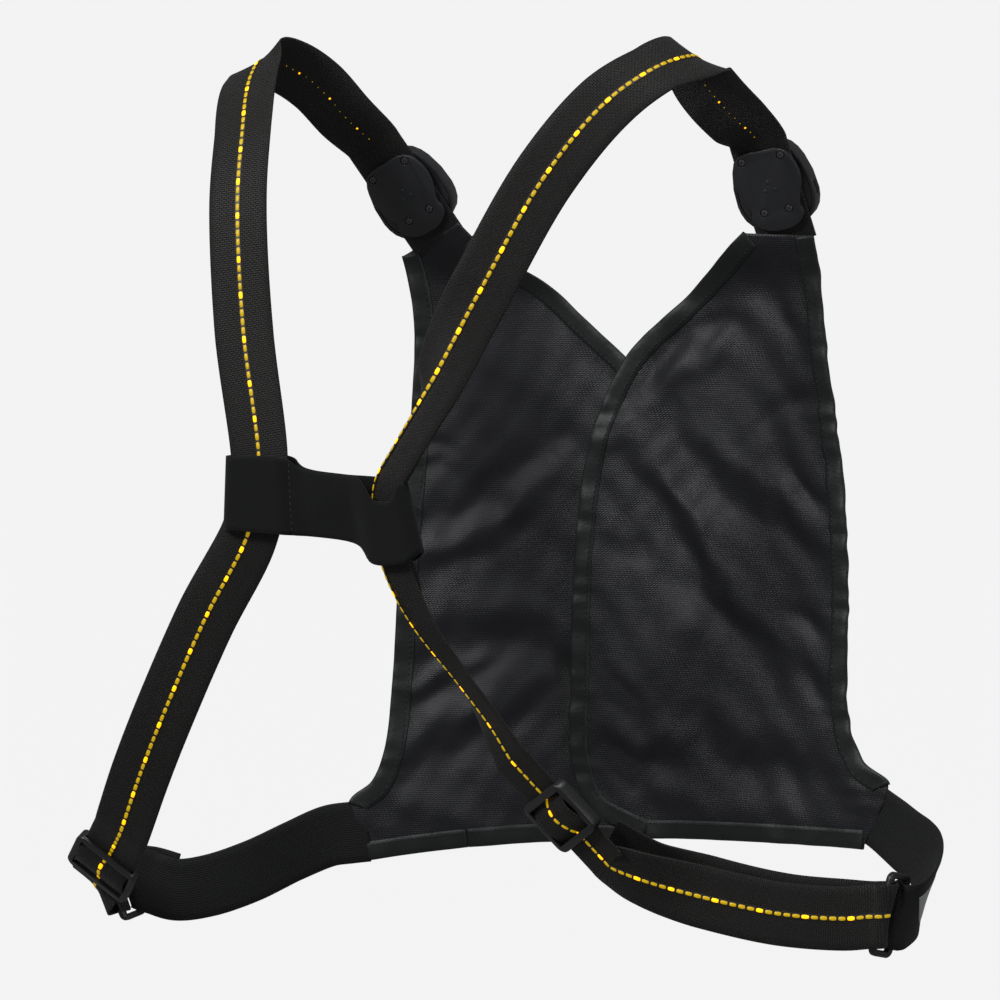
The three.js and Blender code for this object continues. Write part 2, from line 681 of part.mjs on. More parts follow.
function symmetricOutline(half, scale = 1) {
  const mirrored = half.slice(1, -1).reverse().map(([x, y]) => [-x, y]);
  const points = [...half, ...mirrored, half[0]].map(([x, y]) => (
    new THREE.Vector2(x * scale, y * scale)));
  const outline = new THREE.Shape();
  outline.moveTo(points[0].x, points[0].y);
  outline.splineThru(points.slice(1));
  return outline;
}

const faceOfWebbing = WEBBING_THICKNESS / 2 + GAP;
const coverTop = faceOfWebbing + COVER_THICKNESS;
const recessFloor = faceOfWebbing + 1.2;
const shellRim = -faceOfWebbing;
const shellFront = shellRim - SHELL_DEPTH;
const shellInside = shellFront + SHELL_WALL;
const insideScale = 1 - SHELL_WALL / 25;
const boreRadius = SCREW_SHANK_RADIUS + 0.4;
const bossRadius = 3.1;
const bossTop = shellRim - 3.2;
const basePlateTop = shellRim - GAP;
const basePlateFloor = basePlateTop - 1.6;
const gasketTop = basePlateFloor - GAP;
const BUTTON_Y = -3;
const PORT_Y = [-12, -4];
const PORT_Z = [-10, -5.9];

function bores(low, high, radius) {
  return SCREW_PLACES.map(([x, y]) => post(radius, low, high, x, y, 10));
}

function makeRearCover(name, group) {
  const body = plate(symmetricOutline(coverHalf), faceOfWebbing, coverTop, 0.7, 2);
  const recesses = bores(recessFloor, coverTop + 1, SCREW_HEAD_RADIUS + 0.4);
  const holes = bores(0, recessFloor + 1, boreRadius);
  add(`${name}_rear_cover`, cut(body, [...recesses, ...holes]), podPlastic, group);
}

function makeFrontShell(name, group, outer) {
  const body = plate(symmetricOutline(shellHalf), shellFront, shellRim + 8, 3.5, 2);
  const top = block(-50, 50, -50, 50, shellRim, shellRim + 20);
  const cavity = plate(symmetricOutline(shellHalf, insideScale), shellInside, shellRim + 1, 0, 2);
  const buttonHole = post(BUTTON_RADIUS + GAP, shellFront - 2, shellInside + 2, 0, BUTTON_Y, 16);
  const portX = [20 * outer, 30 * outer].sort((a, b) => a - b);
  const portHole = block(...portX, PORT_Y[0] - GAP, PORT_Y[1] + GAP, PORT_Z[0] - GAP,
    PORT_Z[1] + GAP);
  const hollow = cut(body, [top, cavity, buttonHole, portHole]);
  const bosses = SCREW_PLACES.map(([x, y]) => (
    post(bossRadius, shellInside - 0.5, bossTop, x, y, 10)));
  const bossed = join([hollow, ...bosses]);
  const shape = cut(bossed, bores(shellInside + 1, bossTop + 1, boreRadius));
  add(`${name}_front_shell`, shape, podPlastic, group);
}

function makeScrews(name, group) {
  const under = recessFloor + GAP;
  const top = under + 1.2;
  const profile = [
    [0, top - SCREW_LENGTH], [SCREW_SHANK_RADIUS, top - SCREW_LENGTH],
    [SCREW_SHANK_RADIUS, under], [SCREW_HEAD_RADIUS, under],
    [SCREW_HEAD_RADIUS, top - 0.4], [SCREW_HEAD_RADIUS - 0.5, top], [0, top],
  ];
  SCREW_PLACES.forEach(([x, y], i) => {
    const screw = add(`${name}_cover_screw_${i + 1}`, lathe(profile, 10), steel, group);
    screw.position.set(x, y, 0);
  });
}

// A solid of revolution about z from a profile of [radius, z] that starts and ends on the axis.
function lathe(profile, sides) {
  const points = profile.map(([x, y]) => new THREE.Vector2(x, y));
  const geometry = new THREE.LatheGeometry(points, sides);
  geometry.rotateX(Math.PI / 2);
  return toGeometry(toSolid(geometry));
}

function makeInside(name, group, outer) {
  const base = plate(symmetricOutline(shellHalf, insideScale - 0.016), basePlateFloor, basePlateTop,
    0, 2);
  add(`${name}_base_plate`, cut(base, bores(-20, 20, boreRadius)), podPlastic, group);
  const sealFloor = gasketTop - 0.7;
  const seal = plate(symmetricOutline(shellHalf, insideScale - 0.02), sealFloor, gasketTop, 0, 2);
  const sealHole = plate(symmetricOutline(shellHalf, insideScale - 0.065), -20, 20, 0, 2);
  add(`${name}_gasket`, cut(seal, [sealHole]), rubber, group);
  add(`${name}_circuit_board`, block(-16, 16, -11.5, 14, -9.4, -8.2), circuit, group);
  add(`${name}_battery_cell`, block(-14, 14, -10, 13, -7.9, -4.7), battery, group);
  add(`${name}_light_emitter`, block(-5, 5, 15, 21, -9, -5), clearPlastic, group);
  const socketX = [16.4 * outer, 22.4 * outer].sort((a, b) => a - b);
  add(`${name}_charge_socket`, block(...socketX, -11.5, -4.5, -9.8, -6.2), steel, group);
}

function makeButton(name, group) {
  const flange = shellInside + GAP;
  const profile = [
    [0, shellFront - BUTTON_TRAVEL - 0.3], [BUTTON_RADIUS - 1, shellFront - BUTTON_TRAVEL - 0.3],
    [BUTTON_RADIUS, shellFront - BUTTON_TRAVEL + 0.5], [BUTTON_RADIUS, flange],
    [BUTTON_RADIUS + 1.2, flange], [BUTTON_RADIUS + 1.2, flange + 1], [0, flange + 1],
  ];
  const button = add(`${name}_push_button`, lathe(profile, 16), rubber, group);
  button.position.set(0, BUTTON_Y, 0);
}

function makePortCover(name, group, outer) {
  const x = [24.3 * outer, 26.3 * outer].sort((a, b) => a - b);
  add(`${name}_port_cover`, block(...x, ...PORT_Y, ...PORT_Z), rubber, group);
}

// The two pods mirror each other: the charging port is on the side away from the neck.
for (const [side, outer] of [['left', -1], ['right', 1]]) {
  const name = `${side}_pod`;
  const group = frameGroup(podPlace[side], podAcross[side], podUp[side]);
  makeFrontShell(name, group, outer);
  makeRearCover(name, group);
  makeScrews(name, group);
  makeInside(name, group, outer);
  makeButton(name, group);
  makePortCover(name, group, outer);
}

export default vest;
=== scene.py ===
"""Looks of the illuminated harness vest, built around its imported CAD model.

Shapes are worked out in millimetres in the part's frame (+X the wearer's right, +Y the way the
wearer faces, +Z up) and turned into metres when a mesh is made.
"""

import json
import math
import random

import bmesh
import bpy
import numpy as np
from mathutils import Matrix

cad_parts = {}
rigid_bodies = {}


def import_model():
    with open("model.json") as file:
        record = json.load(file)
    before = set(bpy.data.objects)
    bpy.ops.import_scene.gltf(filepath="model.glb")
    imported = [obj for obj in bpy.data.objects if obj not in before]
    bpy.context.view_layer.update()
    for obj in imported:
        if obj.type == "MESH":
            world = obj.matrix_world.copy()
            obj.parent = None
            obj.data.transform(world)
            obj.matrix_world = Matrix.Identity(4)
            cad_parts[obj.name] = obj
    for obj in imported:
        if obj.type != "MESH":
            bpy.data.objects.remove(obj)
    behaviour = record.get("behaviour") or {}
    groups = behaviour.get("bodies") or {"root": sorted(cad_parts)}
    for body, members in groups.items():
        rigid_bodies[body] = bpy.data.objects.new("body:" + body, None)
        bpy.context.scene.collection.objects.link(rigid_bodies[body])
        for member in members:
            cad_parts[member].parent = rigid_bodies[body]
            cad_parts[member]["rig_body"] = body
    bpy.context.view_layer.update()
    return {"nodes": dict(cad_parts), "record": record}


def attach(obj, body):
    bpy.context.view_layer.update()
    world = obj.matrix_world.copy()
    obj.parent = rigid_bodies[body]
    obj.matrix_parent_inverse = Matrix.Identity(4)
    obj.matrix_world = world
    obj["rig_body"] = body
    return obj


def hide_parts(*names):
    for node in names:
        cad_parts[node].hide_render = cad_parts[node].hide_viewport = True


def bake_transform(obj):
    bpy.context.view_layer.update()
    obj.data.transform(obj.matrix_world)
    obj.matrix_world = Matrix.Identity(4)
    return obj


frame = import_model()

MM = 0.001
random.seed(7)

# ---- sizes, in millimetres ----

WEBBING_WIDTH = 38
WEBBING_THICKNESS = 1.4
PICOT_PITCH = 1.2            # length of webbing between two stations; its edge bumps span two
PICOT_DEPTH = 0.28
DASH_PITCH = 5.5             # light string: one lit dash to every pitch
DASH_LENGTH = 4.5
DASH_WIDTH = 2.7
BRIGHT_EVERY = 5
CARRIER_WIDTH = 3.6          # the dark strip that the dashes sit on
CARRIER_THICKNESS = 0.3
ELASTIC_WIDTH = 40
ELASTIC_THICKNESS = 1.6
ELASTIC_STEP = 2             # size of the elastic's mesh along the band
TAPE_WIDTH = 20              # reflective tape on the elastic
TAPE_THICKNESS = 0.4
PANEL_DEPTH = 105
PANEL_BOW = 25
PANEL_HALF_WIDTH = 150
FOLD_X = -97                 # the left front flap turns about this upright line
FLAP_OFFSET = 5
CLOTH_STEP = 2.6             # size of the cloth's mesh
CLOTH_THICKNESS = 0.8
BINDING_WIDTH = 11
BINDING_HEIGHT = 1.3         # from the cloth's middle to the binding's face
STITCH_PITCH = 3.6
STITCH_LENGTH = 2.5
STITCH_REACH = 8.6           # from the cloth's edge in to the row of stitches
SLEEVE_BACK = 114
SLEEVE_ROOM = 13
SLEEVE_WALL = 1.4
SLIDER_WINDOW = 28           # length of webbing that shows between a slider's outer bars
HUMP_HEIGHT = 5.5            # how far the webbing bulges over the slider's middle bar


# ---- small tools ----

def vec(*numbers):
    return np.array(numbers, float)


def unit(v):
    return v / np.linalg.norm(v)


def smoothstep(value, low, high):
    t = np.clip((np.asarray(value, float) - low) / (high - low), 0, 1)
    return t * t * (3 - 2 * t)


def linear(hex_color):
    """The scene-linear colour of an sRGB colour such as "#1c1a19"."""
    channels = [int(hex_color[i:i + 2], 16) / 255 for i in (1, 3, 5)]
    return [c / 12.92 if c <= 0.04045 else ((c + 0.055) / 1.055) ** 2.4 for c in channels]


def new_piece(name, points, faces, look, slot=None, body="vest", uv=None, replaces=()):
    """Makes a smooth mesh from points in millimetres, and lets it ride on a body."""
    mesh = bpy.data.meshes.new(name)
    mesh.from_pydata((np.asarray(points) * MM).tolist(), [], faces)
    if uv is not None:
        layer = mesh.uv_layers.new(name="UVMap")
        corners = np.zeros(len(mesh.loops), int)
        mesh.loops.foreach_get("vertex_index", corners)
        layer.data.foreach_set("uv", (np.asarray(uv)[corners]).ravel())
    mesh.materials.append(look)
    mesh.polygons.foreach_set("use_smooth", [True] * len(mesh.polygons))
    turn_faces_out(mesh)
    piece = bpy.data.objects.new(name, mesh)
    bpy.context.scene.collection.objects.link(piece)
    if body:
        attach(piece, body)
    if replaces:
        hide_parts(*replaces)
    return piece


def turn_faces_out(mesh):
    work = bmesh.new()
    work.from_mesh(mesh)
    bmesh.ops.recalc_face_normals(work, faces=work.faces)
    work.to_mesh(mesh)
    work.free()


def join_parts(parts):
    """Joins several (points, faces) into one."""
    points, faces, count = [], [], 0
    for some_points, some_faces in parts:
        points.extend(some_points)
        faces.extend([[count + i for i in face] for face in some_faces])
        count += len(some_points)
    return points, faces


def loft(rings, caps=True):
    """Faces between closed rings of equal length, with the two ends closed."""
    size = len(rings[0])
    points = [p for ring in rings for p in ring]
    faces = []
    for row in range(len(rings) - 1):
        for i in range(size):
            j = (i + 1) % size
            low, high = row * size, (row + 1) * size
            faces.append([low + i, low + j, high + j, high + i])
    if caps:
        faces.append(list(range(size)))
        faces.append([(len(rings) - 1) * size + i for i in range(size)])
    return points, faces


# ---- curves ----

def spline(points, per_span):
    """Centripetal Catmull-Rom curve through the points; per_span holds the steps of each span."""
    points = [np.asarray(p, float) for p in points]
    first = 2 * points[0] - points[1]
    last = 2 * points[-1] - points[-2]
    all_points = [first, *points, last]
    out = []
    for i in range(len(points) - 1):
        p0, p1, p2, p3 = all_points[i:i + 4]
        d0, d1, d2 = (max(np.linalg.norm(b - a) ** 0.5, 1e-4)
                      for a, b in ((p0, p1), (p1, p2), (p2, p3)))
        m1 = ((p1 - p0) / d0 - (p2 - p0) / (d0 + d1) + (p2 - p1) / d1) * d1
        m2 = ((p2 - p1) / d1 - (p3 - p1) / (d1 + d2) + (p3 - p2) / d2) * d1
        for k in range(per_span[i]):
            t = k / per_span[i]
            cubic = 2 * p1 - 2 * p2 + m1 + m2
            square = -3 * p1 + 3 * p2 - 2 * m1 - m2
            out.append(p1 + m1 * t + square * t ** 2 + cubic * t ** 3)
    out.append(points[-1])
    return np.array(out)


def steps_for(points, step):
    return [max(2, round(float(np.linalg.norm(np.subtract(b, a))) / step))
            for a, b in zip(points, points[1:])]


def stop(place, across, fold=0):
    """A place on a band's route, its direction across, and how far its halves fold back."""
    return vec(*place), vec(*across), fold


def stops_across(across, *places):
    """Several places that share one direction across."""
    return [stop(place, across) for place in places]


class Route:
    """A band's route: arrays of place, along, across, outward, fold and distance."""

    def __init__(self, stops, step):
        places = [s[0] for s in stops]
        counts = steps_for(places, step)
        self.place = spline(places, counts)
        knots = np.concatenate([[0], np.cumsum(counts)])
        rows = np.arange(len(self.place))
        across = np.stack([np.interp(rows, knots, [s[1][k] for s in stops]) for k in range(3)], 1)
        self.fold = np.radians(np.interp(rows, knots, [s[2] for s in stops]))
        self.along = np.gradient(self.place, axis=0)
        self.along /= np.linalg.norm(self.along, axis=1)[:, None]
        across = soften(across, 5)
        self.fold = soften(self.fold[:, None], 5)[:, 0]
        across -= self.along * np.sum(across * self.along, axis=1)[:, None]
        self.across = across / np.linalg.norm(across, axis=1)[:, None]
        self.outward = np.cross(self.along, self.across)
        gaps = np.linalg.norm(np.diff(self.place, axis=0), axis=1)
        self.distance = np.concatenate([[0], np.cumsum(gaps)])
        self.knots = knots

    def part(self, first, last):
        """The route from one row to another."""
        piece = object.__new__(Route)
        for name in ("place", "along", "across", "outward", "fold", "distance"):
            setattr(piece, name, getattr(self, name)[first:last])
        return piece

    def point(self, row, side, height):
        """A point of the band at a row, which may be fractional."""
        low = int(min(max(row, 0), len(self.place) - 2))
        part = row - low

        def between(values):
            return values[low] * (1 - part) + values[low + 1] * part

        fold = between(self.fold)
        lean = fold * math.tanh(side / 1.5)
        bend = math.sqrt(side ** 2 + 2) - math.sqrt(2)
        run = side * math.cos(fold) + height * math.sin(lean)
        rise = height * math.cos(lean) - bend * math.sin(fold)
        return between(self.place) + between(self.across) * run + between(self.outward) * rise

    def row_at(self, distance):
        return float(np.interp(distance, self.distance, np.arange(len(self.distance))))


def soften(values, passes):
    """Evens the values out along their rows, and leaves the two ends alone."""
    for _ in range(passes):
        values[1:-1] = (values[:-2] + 2 * values[1:-1] + values[2:]) / 4
    return values


def band_section(width, thickness, columns=9):
    """The closed cross-section of a flat woven band, as (side, height) points."""
    half, flat = width / 2, width / 2 - thickness / 2
    sides = np.linspace(-flat, flat, columns)
    upper = [(s, thickness / 2) for s in sides]
    lower = [(s, -thickness / 2) for s in sides[::-1]]
    return [*upper, (half, 0), *lower, (-half, 0)]


def band_piece(name, route, width, thickness, look, slot, picot=0, lift=0, **more):
    """A flat woven band along a route; picot is the depth of the bumps along its edges."""
    section = band_section(width, thickness)
    rings, uv = [], []
    for row in range(len(route.place)):
        grow = picot * (1 if row % 2 else -1)
        ring = []
        for side, height in section:
            reach = side + math.copysign(grow, side) * (abs(side) > width / 2 - 0.01)
            ring.append(route.point(row, reach, height + lift))
            uv.append((side * MM, route.distance[row] * MM))
        rings.append(ring)
    points, faces = loft(rings)
    return new_piece(name, points, faces, look, slot, uv=uv, **more)


# ---- materials ----

class Look:
    """A node material built up round one Principled shader."""

    def __init__(self, name, color, roughness, specular=0.5, metallic=0.0):
        self.material = bpy.data.materials.new(name)
        self.material.use_nodes = True
        self.tree = self.material.node_tree
        self.shader = self.tree.nodes["Principled BSDF"]
        self.color = linear(color)
        self.shader.inputs["Base Color"].default_value = (*self.color, 1)
        self.shader.inputs["Roughness"].default_value = roughness
        self.shader.inputs["Specular IOR Level"].default_value = specular
        self.shader.inputs["Metallic"].default_value = metallic
        self.height = None

    def add(self, kind, inputs=None, **settings):
        node = self.tree.nodes.new("ShaderNode" + kind)
        for name, value in settings.items():
            setattr(node, name, value)
        for name, value in (inputs or {}).items():
            if isinstance(value, bpy.types.NodeSocket):
                self.tree.links.new(value, node.inputs[name])
            else:
                node.inputs[name].default_value = value
        return node

    def coordinates(self, source="UV", scale=(1000, 1000, 1000), turn=0):
        """Texture coordinates in millimetres, times scale / 1000."""
        place = self.add("TexCoord").outputs[source]
        return self.add("Mapping", {"Vector": place, "Scale": scale,
                                    "Rotation": (0, 0, math.radians(turn))}).outputs[0]

    def tint(self, factor, low, high, base=None):
        """Colours the surface from low to high times the base colour as factor goes 0 to 1."""
        ramp = self.add("ValToRGB", {"Fac": factor})
        base = base or self.color
        ramp.color_ramp.elements[0].color = (*[c * low for c in base], 1)
        ramp.color_ramp.elements[1].color = (*[c * high for c in base], 1)
        self.tree.links.new(ramp.outputs[0], self.shader.inputs["Base Color"])
        return ramp

    def bump(self, height, strength, distance_mm):
        """Adds one layer of bump on top of those already there."""
        inputs = {"Height": height, "Strength": strength, "Distance": distance_mm * MM}
        if self.height:
            inputs["Normal"] = self.height
        self.height = self.add("Bump", inputs).outputs[0]
        self.tree.links.new(self.height, self.shader.inputs["Normal"])

    def vary_roughness(self, factor, low, high):
        spread = self.add("MapRange", {"Value": factor, "To Min": low, "To Max": high})
        self.tree.links.new(spread.outputs[0], self.shader.inputs["Roughness"])

    def sheen(self, weight, roughness=0.4):
        self.shader.inputs["Sheen Weight"].default_value = weight
        self.shader.inputs["Sheen Roughness"].default_value = roughness
        return self


def noise(look, vector, scale, detail=3.0):
    return look.add("TexNoise", {"Vector": vector, "Scale": scale, "Detail": detail,
                                 "Roughness": 0.55}).outputs[0]


def weave(look, vector, width, height, gap):
    """Staggered thread crossings, 1 on a thread and 0 between."""
    bricks = look.add("TexBrick", {
        "Vector": vector, "Scale": 1, "Brick Width": width, "Row Height": height,
        "Mortar Size": gap, "Mortar Smooth": 1.0,
    })
    bricks.offset = 0.5
    return look.add("Math", {0: 1.0, 1: bricks.outputs["Fac"]}, operation="SUBTRACT").outputs[0]


def waves(look, vector, pitch, direction="X", distortion=0.0):
    """Ripples with the given pitch in the vector's own units."""
    return look.add("TexWave", {"Vector": vector, "Scale": math.pi / 10 / pitch,
                                "Distortion": distortion},
                    bands_direction=direction).outputs["Fac"]


def webbing_look():
    look = Look("webbing_weave", "#12100f", 0.6, 0.32).sheen(0.05)
    surface = look.coordinates()
    threads = weave(look, surface, 3.0, 1.35, 0.3)
    look.tint(threads, 0.25, 1.6)
    look.bump(noise(look, surface, 0.25), 0.25, 0.6)
    look.bump(threads, 1.0, 0.6)
    return look.material


def cloth_look():
    look = Look("bib_twill", "#121319", 0.5, 0.45).sheen(0.08, 0.35)
    surface = look.coordinates()
    slanted = look.coordinates(turn=52)
    twill = waves(look, slanted, 1.35, "X", 0.6)
    cross = waves(look, surface, 1.35, "Y", 0.4)
    both = look.add("Math", {0: twill, 1: cross}, operation="MULTIPLY").outputs[0]
    look.tint(both, 0.6, 2.1)
    look.vary_roughness(noise(look, surface, 0.05), 0.44, 0.56)
    look.bump(noise(look, surface, 0.05, 5), 0.45, 2.2)
    look.bump(both, 0.6, 0.3)
    return look.material


def binding_look():
    look = Look("binding_satin", "#131717", 0.5, 0.45).sheen(0.04, 0.4)
    surface = look.coordinates()
    ribs = waves(look, surface, 0.8, "Y", 0.3)
    look.tint(noise(look, surface, 0.15), 0.75, 1.3)
    look.bump(noise(look, surface, 0.22, 2), 0.3, 0.8)
    look.bump(ribs, 0.3, 0.15)
    return look.material


def elastic_look():
    look = Look("elastic_ribs", "#0c0d0e", 0.7, 0.3).sheen(0.05)
    surface = look.coordinates()
    ribs = waves(look, surface, 1.5, "X")
    threads = weave(look, surface, 1.5, 1.1, 0.14)
    look.tint(threads, 0.5, 1.3)
    look.bump(ribs, 0.5, 0.3)
    look.bump(threads, 0.5, 0.2)
    return look.material


def sleeve_look():
    """Matte knit with a few specks of pale lint."""
    look = Look("sleeve_knit", "#08090b", 0.9, 0.2).sheen(0.06, 0.6)
    surface = look.coordinates()
    knit = weave(look, surface, 1.3, 0.8, 0.14)
    lint = look.add("MapRange", {"Value": noise(look, surface, 0.55, 1), "From Min": 0.76,
                                 "From Max": 0.84}).outputs[0]
    ramp = look.tint(lint, 1.0, 7.0)
    ramp.color_ramp.elements[0].position = 0.1
    look.bump(noise(look, surface, 0.3), 0.3, 0.6)
    look.bump(knit, 0.5, 0.25)
    return look.material


def tape_look():
    """Silver reflective tape with its fine sealed cells."""
    look = Look("reflective_silver", "#a3a5a6", 0.35, 0.6, 0.25)
    cells = look.add("TexVoronoi", {"Vector": look.coordinates(), "Scale": 0.55},
                     feature="DISTANCE_TO_EDGE").outputs[0]
    look.tint(cells, 0.8, 1.1)
    look.bump(cells, 0.3, 0.1)
    return look.material


def plastic_look(name, color, roughness, grain=1.6):
    """Moulded plastic: fine spark grain, faint cloudiness and a few rubbed patches."""
    look = Look(name, color, roughness, 0.5)
    place = look.coordinates("Object")
    fine = noise(look, place, grain, 2)
    look.tint(noise(look, place, 0.08, 4), 0.8, 1.3)
    look.vary_roughness(noise(look, place, 0.2), roughness - 0.08, roughness + 0.1)
    look.bump(fine, 0.25, 0.12)
    return look.material


def metal_look():
    look = Look("black_steel", "#5a5a5e", 0.35, 0.5, 0.6)
    look.vary_roughness(noise(look, look.coordinates("Object"), 1.2), 0.25, 0.5)
    return look.material


def glow_look(name, color, glow, strength):
    look = Look(name, color, 0.4)
    soft = noise(look, look.coordinates("Object"), 0.7, 1)
    look.tint(soft, 0.75, 1.15)
    look.shader.inputs["Emission Color"].default_value = (*linear(glow), 1)
    look.shader.inputs["Emission Strength"].default_value = strength
    return look.material


def thread_look():
    look = Look("sewing_thread", "#1a1b1d", 0.6, 0.4)
    twist = waves(look, look.coordinates("Object"), 0.5, "DIAGONAL")
    look.tint(twist, 0.7, 1.6)
    return look.material


def hook_look():
    look = Look("hook_pile", "#0b0b0d", 1.0, 0.1).sheen(0.1, 0.6)
    pile = noise(look, look.coordinates("Object"), 1.4, 2)
    look.tint(pile, 0.4, 1.8)
    look.bump(pile, 0.8, 0.6)
    return look.material


def board_look():
    look = Look("green_laminate", "#1d4a2a", 0.5)
    look.tint(waves(look, look.coordinates("Object"), 1.3, "X", 2.0), 0.7, 1.3)
    return look.material


WEBBING = webbing_look()
CLOTH = cloth_look()
BINDING = binding_look()
ELASTIC = elastic_look()
SLEEVE = sleeve_look()
TAPE = tape_look()
POD = plastic_look("pod_moulding", "#202124", 0.46)
HARDWARE = plastic_look("hardware_moulding", "#17181a", 0.36)
RUBBER = plastic_look("soft_rubber", "#0e0e0f", 0.7, 0.9)
STEEL = metal_look()
CARRIER = plastic_look("string_carrier", "#191505", 0.5)
DASH = glow_look("lit_dash", "#b89c00", "#e0b400", 0.42)
BRIGHT = glow_look("bright_dash", "#ffcf00", "#ffae00", 1.5)
THREAD = thread_look()
HOOKS = hook_look()


def dress_cad_nodes():
    """Gives every CAD node the finish of its record slot."""
    looks = {
        "webbing": WEBBING, "cloth": CLOTH, "binding": BINDING, "elastic": ELASTIC,
        "sleeve_knit": SLEEVE, "hook_and_loop": HOOKS, "reflective_tape": TAPE,
        "light_string": DASH, "pod_plastic": POD, "hardware_plastic": HARDWARE,
        "rubber": RUBBER, "steel": STEEL, "circuit_board": board_look(),
        "battery": plastic_look("foil_pouch", "#8d9296", 0.4),
        "clear_plastic": plastic_look("light_window", "#d8d8d0", 0.25),
    }
    for entry in frame["record"]["subparts"]:
        node = frame["nodes"][entry["node"]]
        node.data.materials.clear()
        node.data.materials.append(looks[entry["material_slot"]])


# ---- frames of the pods and sliders ----

class Axes:
    """A piece's own frame: x across, y along, z = x cross y."""

    def __init__(self, place, across, along):
        self.place = vec(*place)
        self.y = unit(vec(*along))
        across = vec(*across)
        self.x = unit(across - self.y * np.dot(across, self.y))
        self.z = np.cross(self.x, self.y)

    def at(self, x, y, z=0):
        return self.place + self.x * x + self.y * y + self.z * z


PODS = {
    "left": Axes((-129.6, 70, -84.5), (0.88, -0.06, 0.49), (-0.48, -0.3, 0.825)),
    "right": Axes((117, 67, -77), (0.97, -0.05, 0.22), (-0.2, -0.3, 0.93)),
}
SLIDERS = {
    "left": Axes((-292, -42, -511), (0.711, 0.224, -0.667), (-0.55, 0.62, -0.56)),
    "right": Axes((36.3, -80, -455), (0.687, -0.567, 0.46), (0.655, 0.195, -0.73)),
}


def straight(axes, distances):
    return [(axes.at(0, d), axes.x, 0) for d in distances]


WEBBING_FOOT = -37           # the webbing ends here below a pod's middle, under the bib's top


# ---- shoulder webbing with its light string ----

LEFT_STOPS = [
    *straight(PODS["left"], [WEBBING_FOOT, -30, -20, 36, 40]),
    stop((-160, 43, -36), (0.8, 0.15, 0.55)),
    stop((-173, 26, -15.5), (0.76, 0.3, 0.57)),
    stop((-185, 8, -3.5), (0.73, 0.33, 0.59)),
    stop((-194, -10, 0), (0.74, 0.33, 0.56)),
    stop((-193, -27, -8), (0.82, 0.25, 0.4)),
    stop((-190, -42, -20), (0.93, 0.1, 0.2)),
    stop((-183, -63, -42), (0.99, -0.05, 0.04)),
    stop((-176, -86, -87), (1, 0, 0)),
    stop((-165, -102, -164), (1, 0.05, 0)),
    stop((-149.5, -113.5, -243), (1, -0.03, 0.02)),
    stop((-151, -114.3, -265), (1, -0.03, -0.05), 5),
    stop((-158, -113.6, -290), (0.97, -0.02, -0.25), 5),
    stop((-190, -106, -342), (0.9, 0.15, -0.4)),
    stop((-224, -96, -405), (0.85, 0.2, -0.45)),
    stop((-246, -84, -445), (0.8, 0.22, -0.52)),
    *straight(SLIDERS["left"], [-46, -42, 24, 27]),
    stop((-308.2, -19, -529.5), (0.45, 0.12, -0.88)),
    stop((-306, -12, -529.2), (0.33, 0.07, -0.94)),
    *stops_across((0.32, 0.07, -0.94), (-300, -8.6, -527.2), (-295.2, -12.5, -526)),
    stop((-295, -20, -525.5), (0.36, 0.08, -0.93)),
    stop((-296, -27, -525.5), (0.5, 0.12, -0.85)),
]

RIGHT_STOPS = [
    *straight(PODS["right"], [WEBBING_FOOT, -30, -20, 27, 31]),
    stop((104.5, 42, -37.5), (0.8, 0.22, 0.5)),
    stop((95.5, 24, -22.5), (0.74, 0.3, 0.56)),
    stop((91, 9, -9.5), (0.88, 0.38, 0.15)),
    stop((95.5, -7, 1.5), (0.82, 0.28, -0.5)),
    stop((94, -24, 2.5), (0.75, 0.1, -0.6)),
    stop((83, -48, -4), (0.61, -0.42, -0.67)),
    stop((61, -73, -24), (0.74, 0, -0.67)),
    stop((29, -92, -68), (0.76, 0.25, -0.6)),
    stop((-6, -108, -136), (0.86, 0.31, -0.41)),
    stop((-33, -114, -188), (0.86, -0.2, -0.45), 18),
    stop((-45, -115, -208), (0.62, -0.65, -0.4), 44),
    stop((-58, -116.5, -230), (0.2, -0.95, -0.2), 74),
    stop((-72, -115, -254), (0.06, -1, 0), 82),
    stop((-72.5, -114.3, -276), (0.04, -1, 0), 82),
    stop((-68, -115.3, -300), (0.1, -1, 0.05), 83),
    stop((-62, -112.5, -318), (0.2, -0.95, 0.1), 70),
    stop((-50, -104, -343), (0.42, -0.87, 0.2), 36),
    stop((-26.5, -94.5, -375), (0.47, -0.84, 0.25), 15),
    stop((-5.5, -91.5, -402), (0.58, -0.72, 0.38), 3),
    *straight(SLIDERS["right"], [-45, -41, 38, 42]),
    stop((84, -74, -492), (0.5, -0.3, 0.7)),
    stop((121, -70, -501), (0.3, 0.05, 0.92)),
    stop((168, -61, -510), (0.22, 0.15, 0.96)),
    *stops_across((0.2, 0.17, 0.96), (205, -49.5, -512.5), (220, -46, -511),
                  (228, -44.8, -510.5), (231, -40, -510), (227.5, -35.2, -510),
                  (219, -35.5, -510.5), (204, -40, -509.5)),
    stop((168, -50, -506.5), (0.22, 0.15, 0.96)),
    stop((123, -58.5, -497), (0.3, 0.05, 0.92)),
    stop((90, -61.5, -487), (0.5, -0.3, 0.7)),
    stop((62, -66, -468), SLIDERS["right"].x),
]

STRING_FIRST_STOP = 4        # the light string comes out of the pod here
LEFT_STRING_LAST_STOP = 24
RIGHT_STRING_LAST_STOP = 34


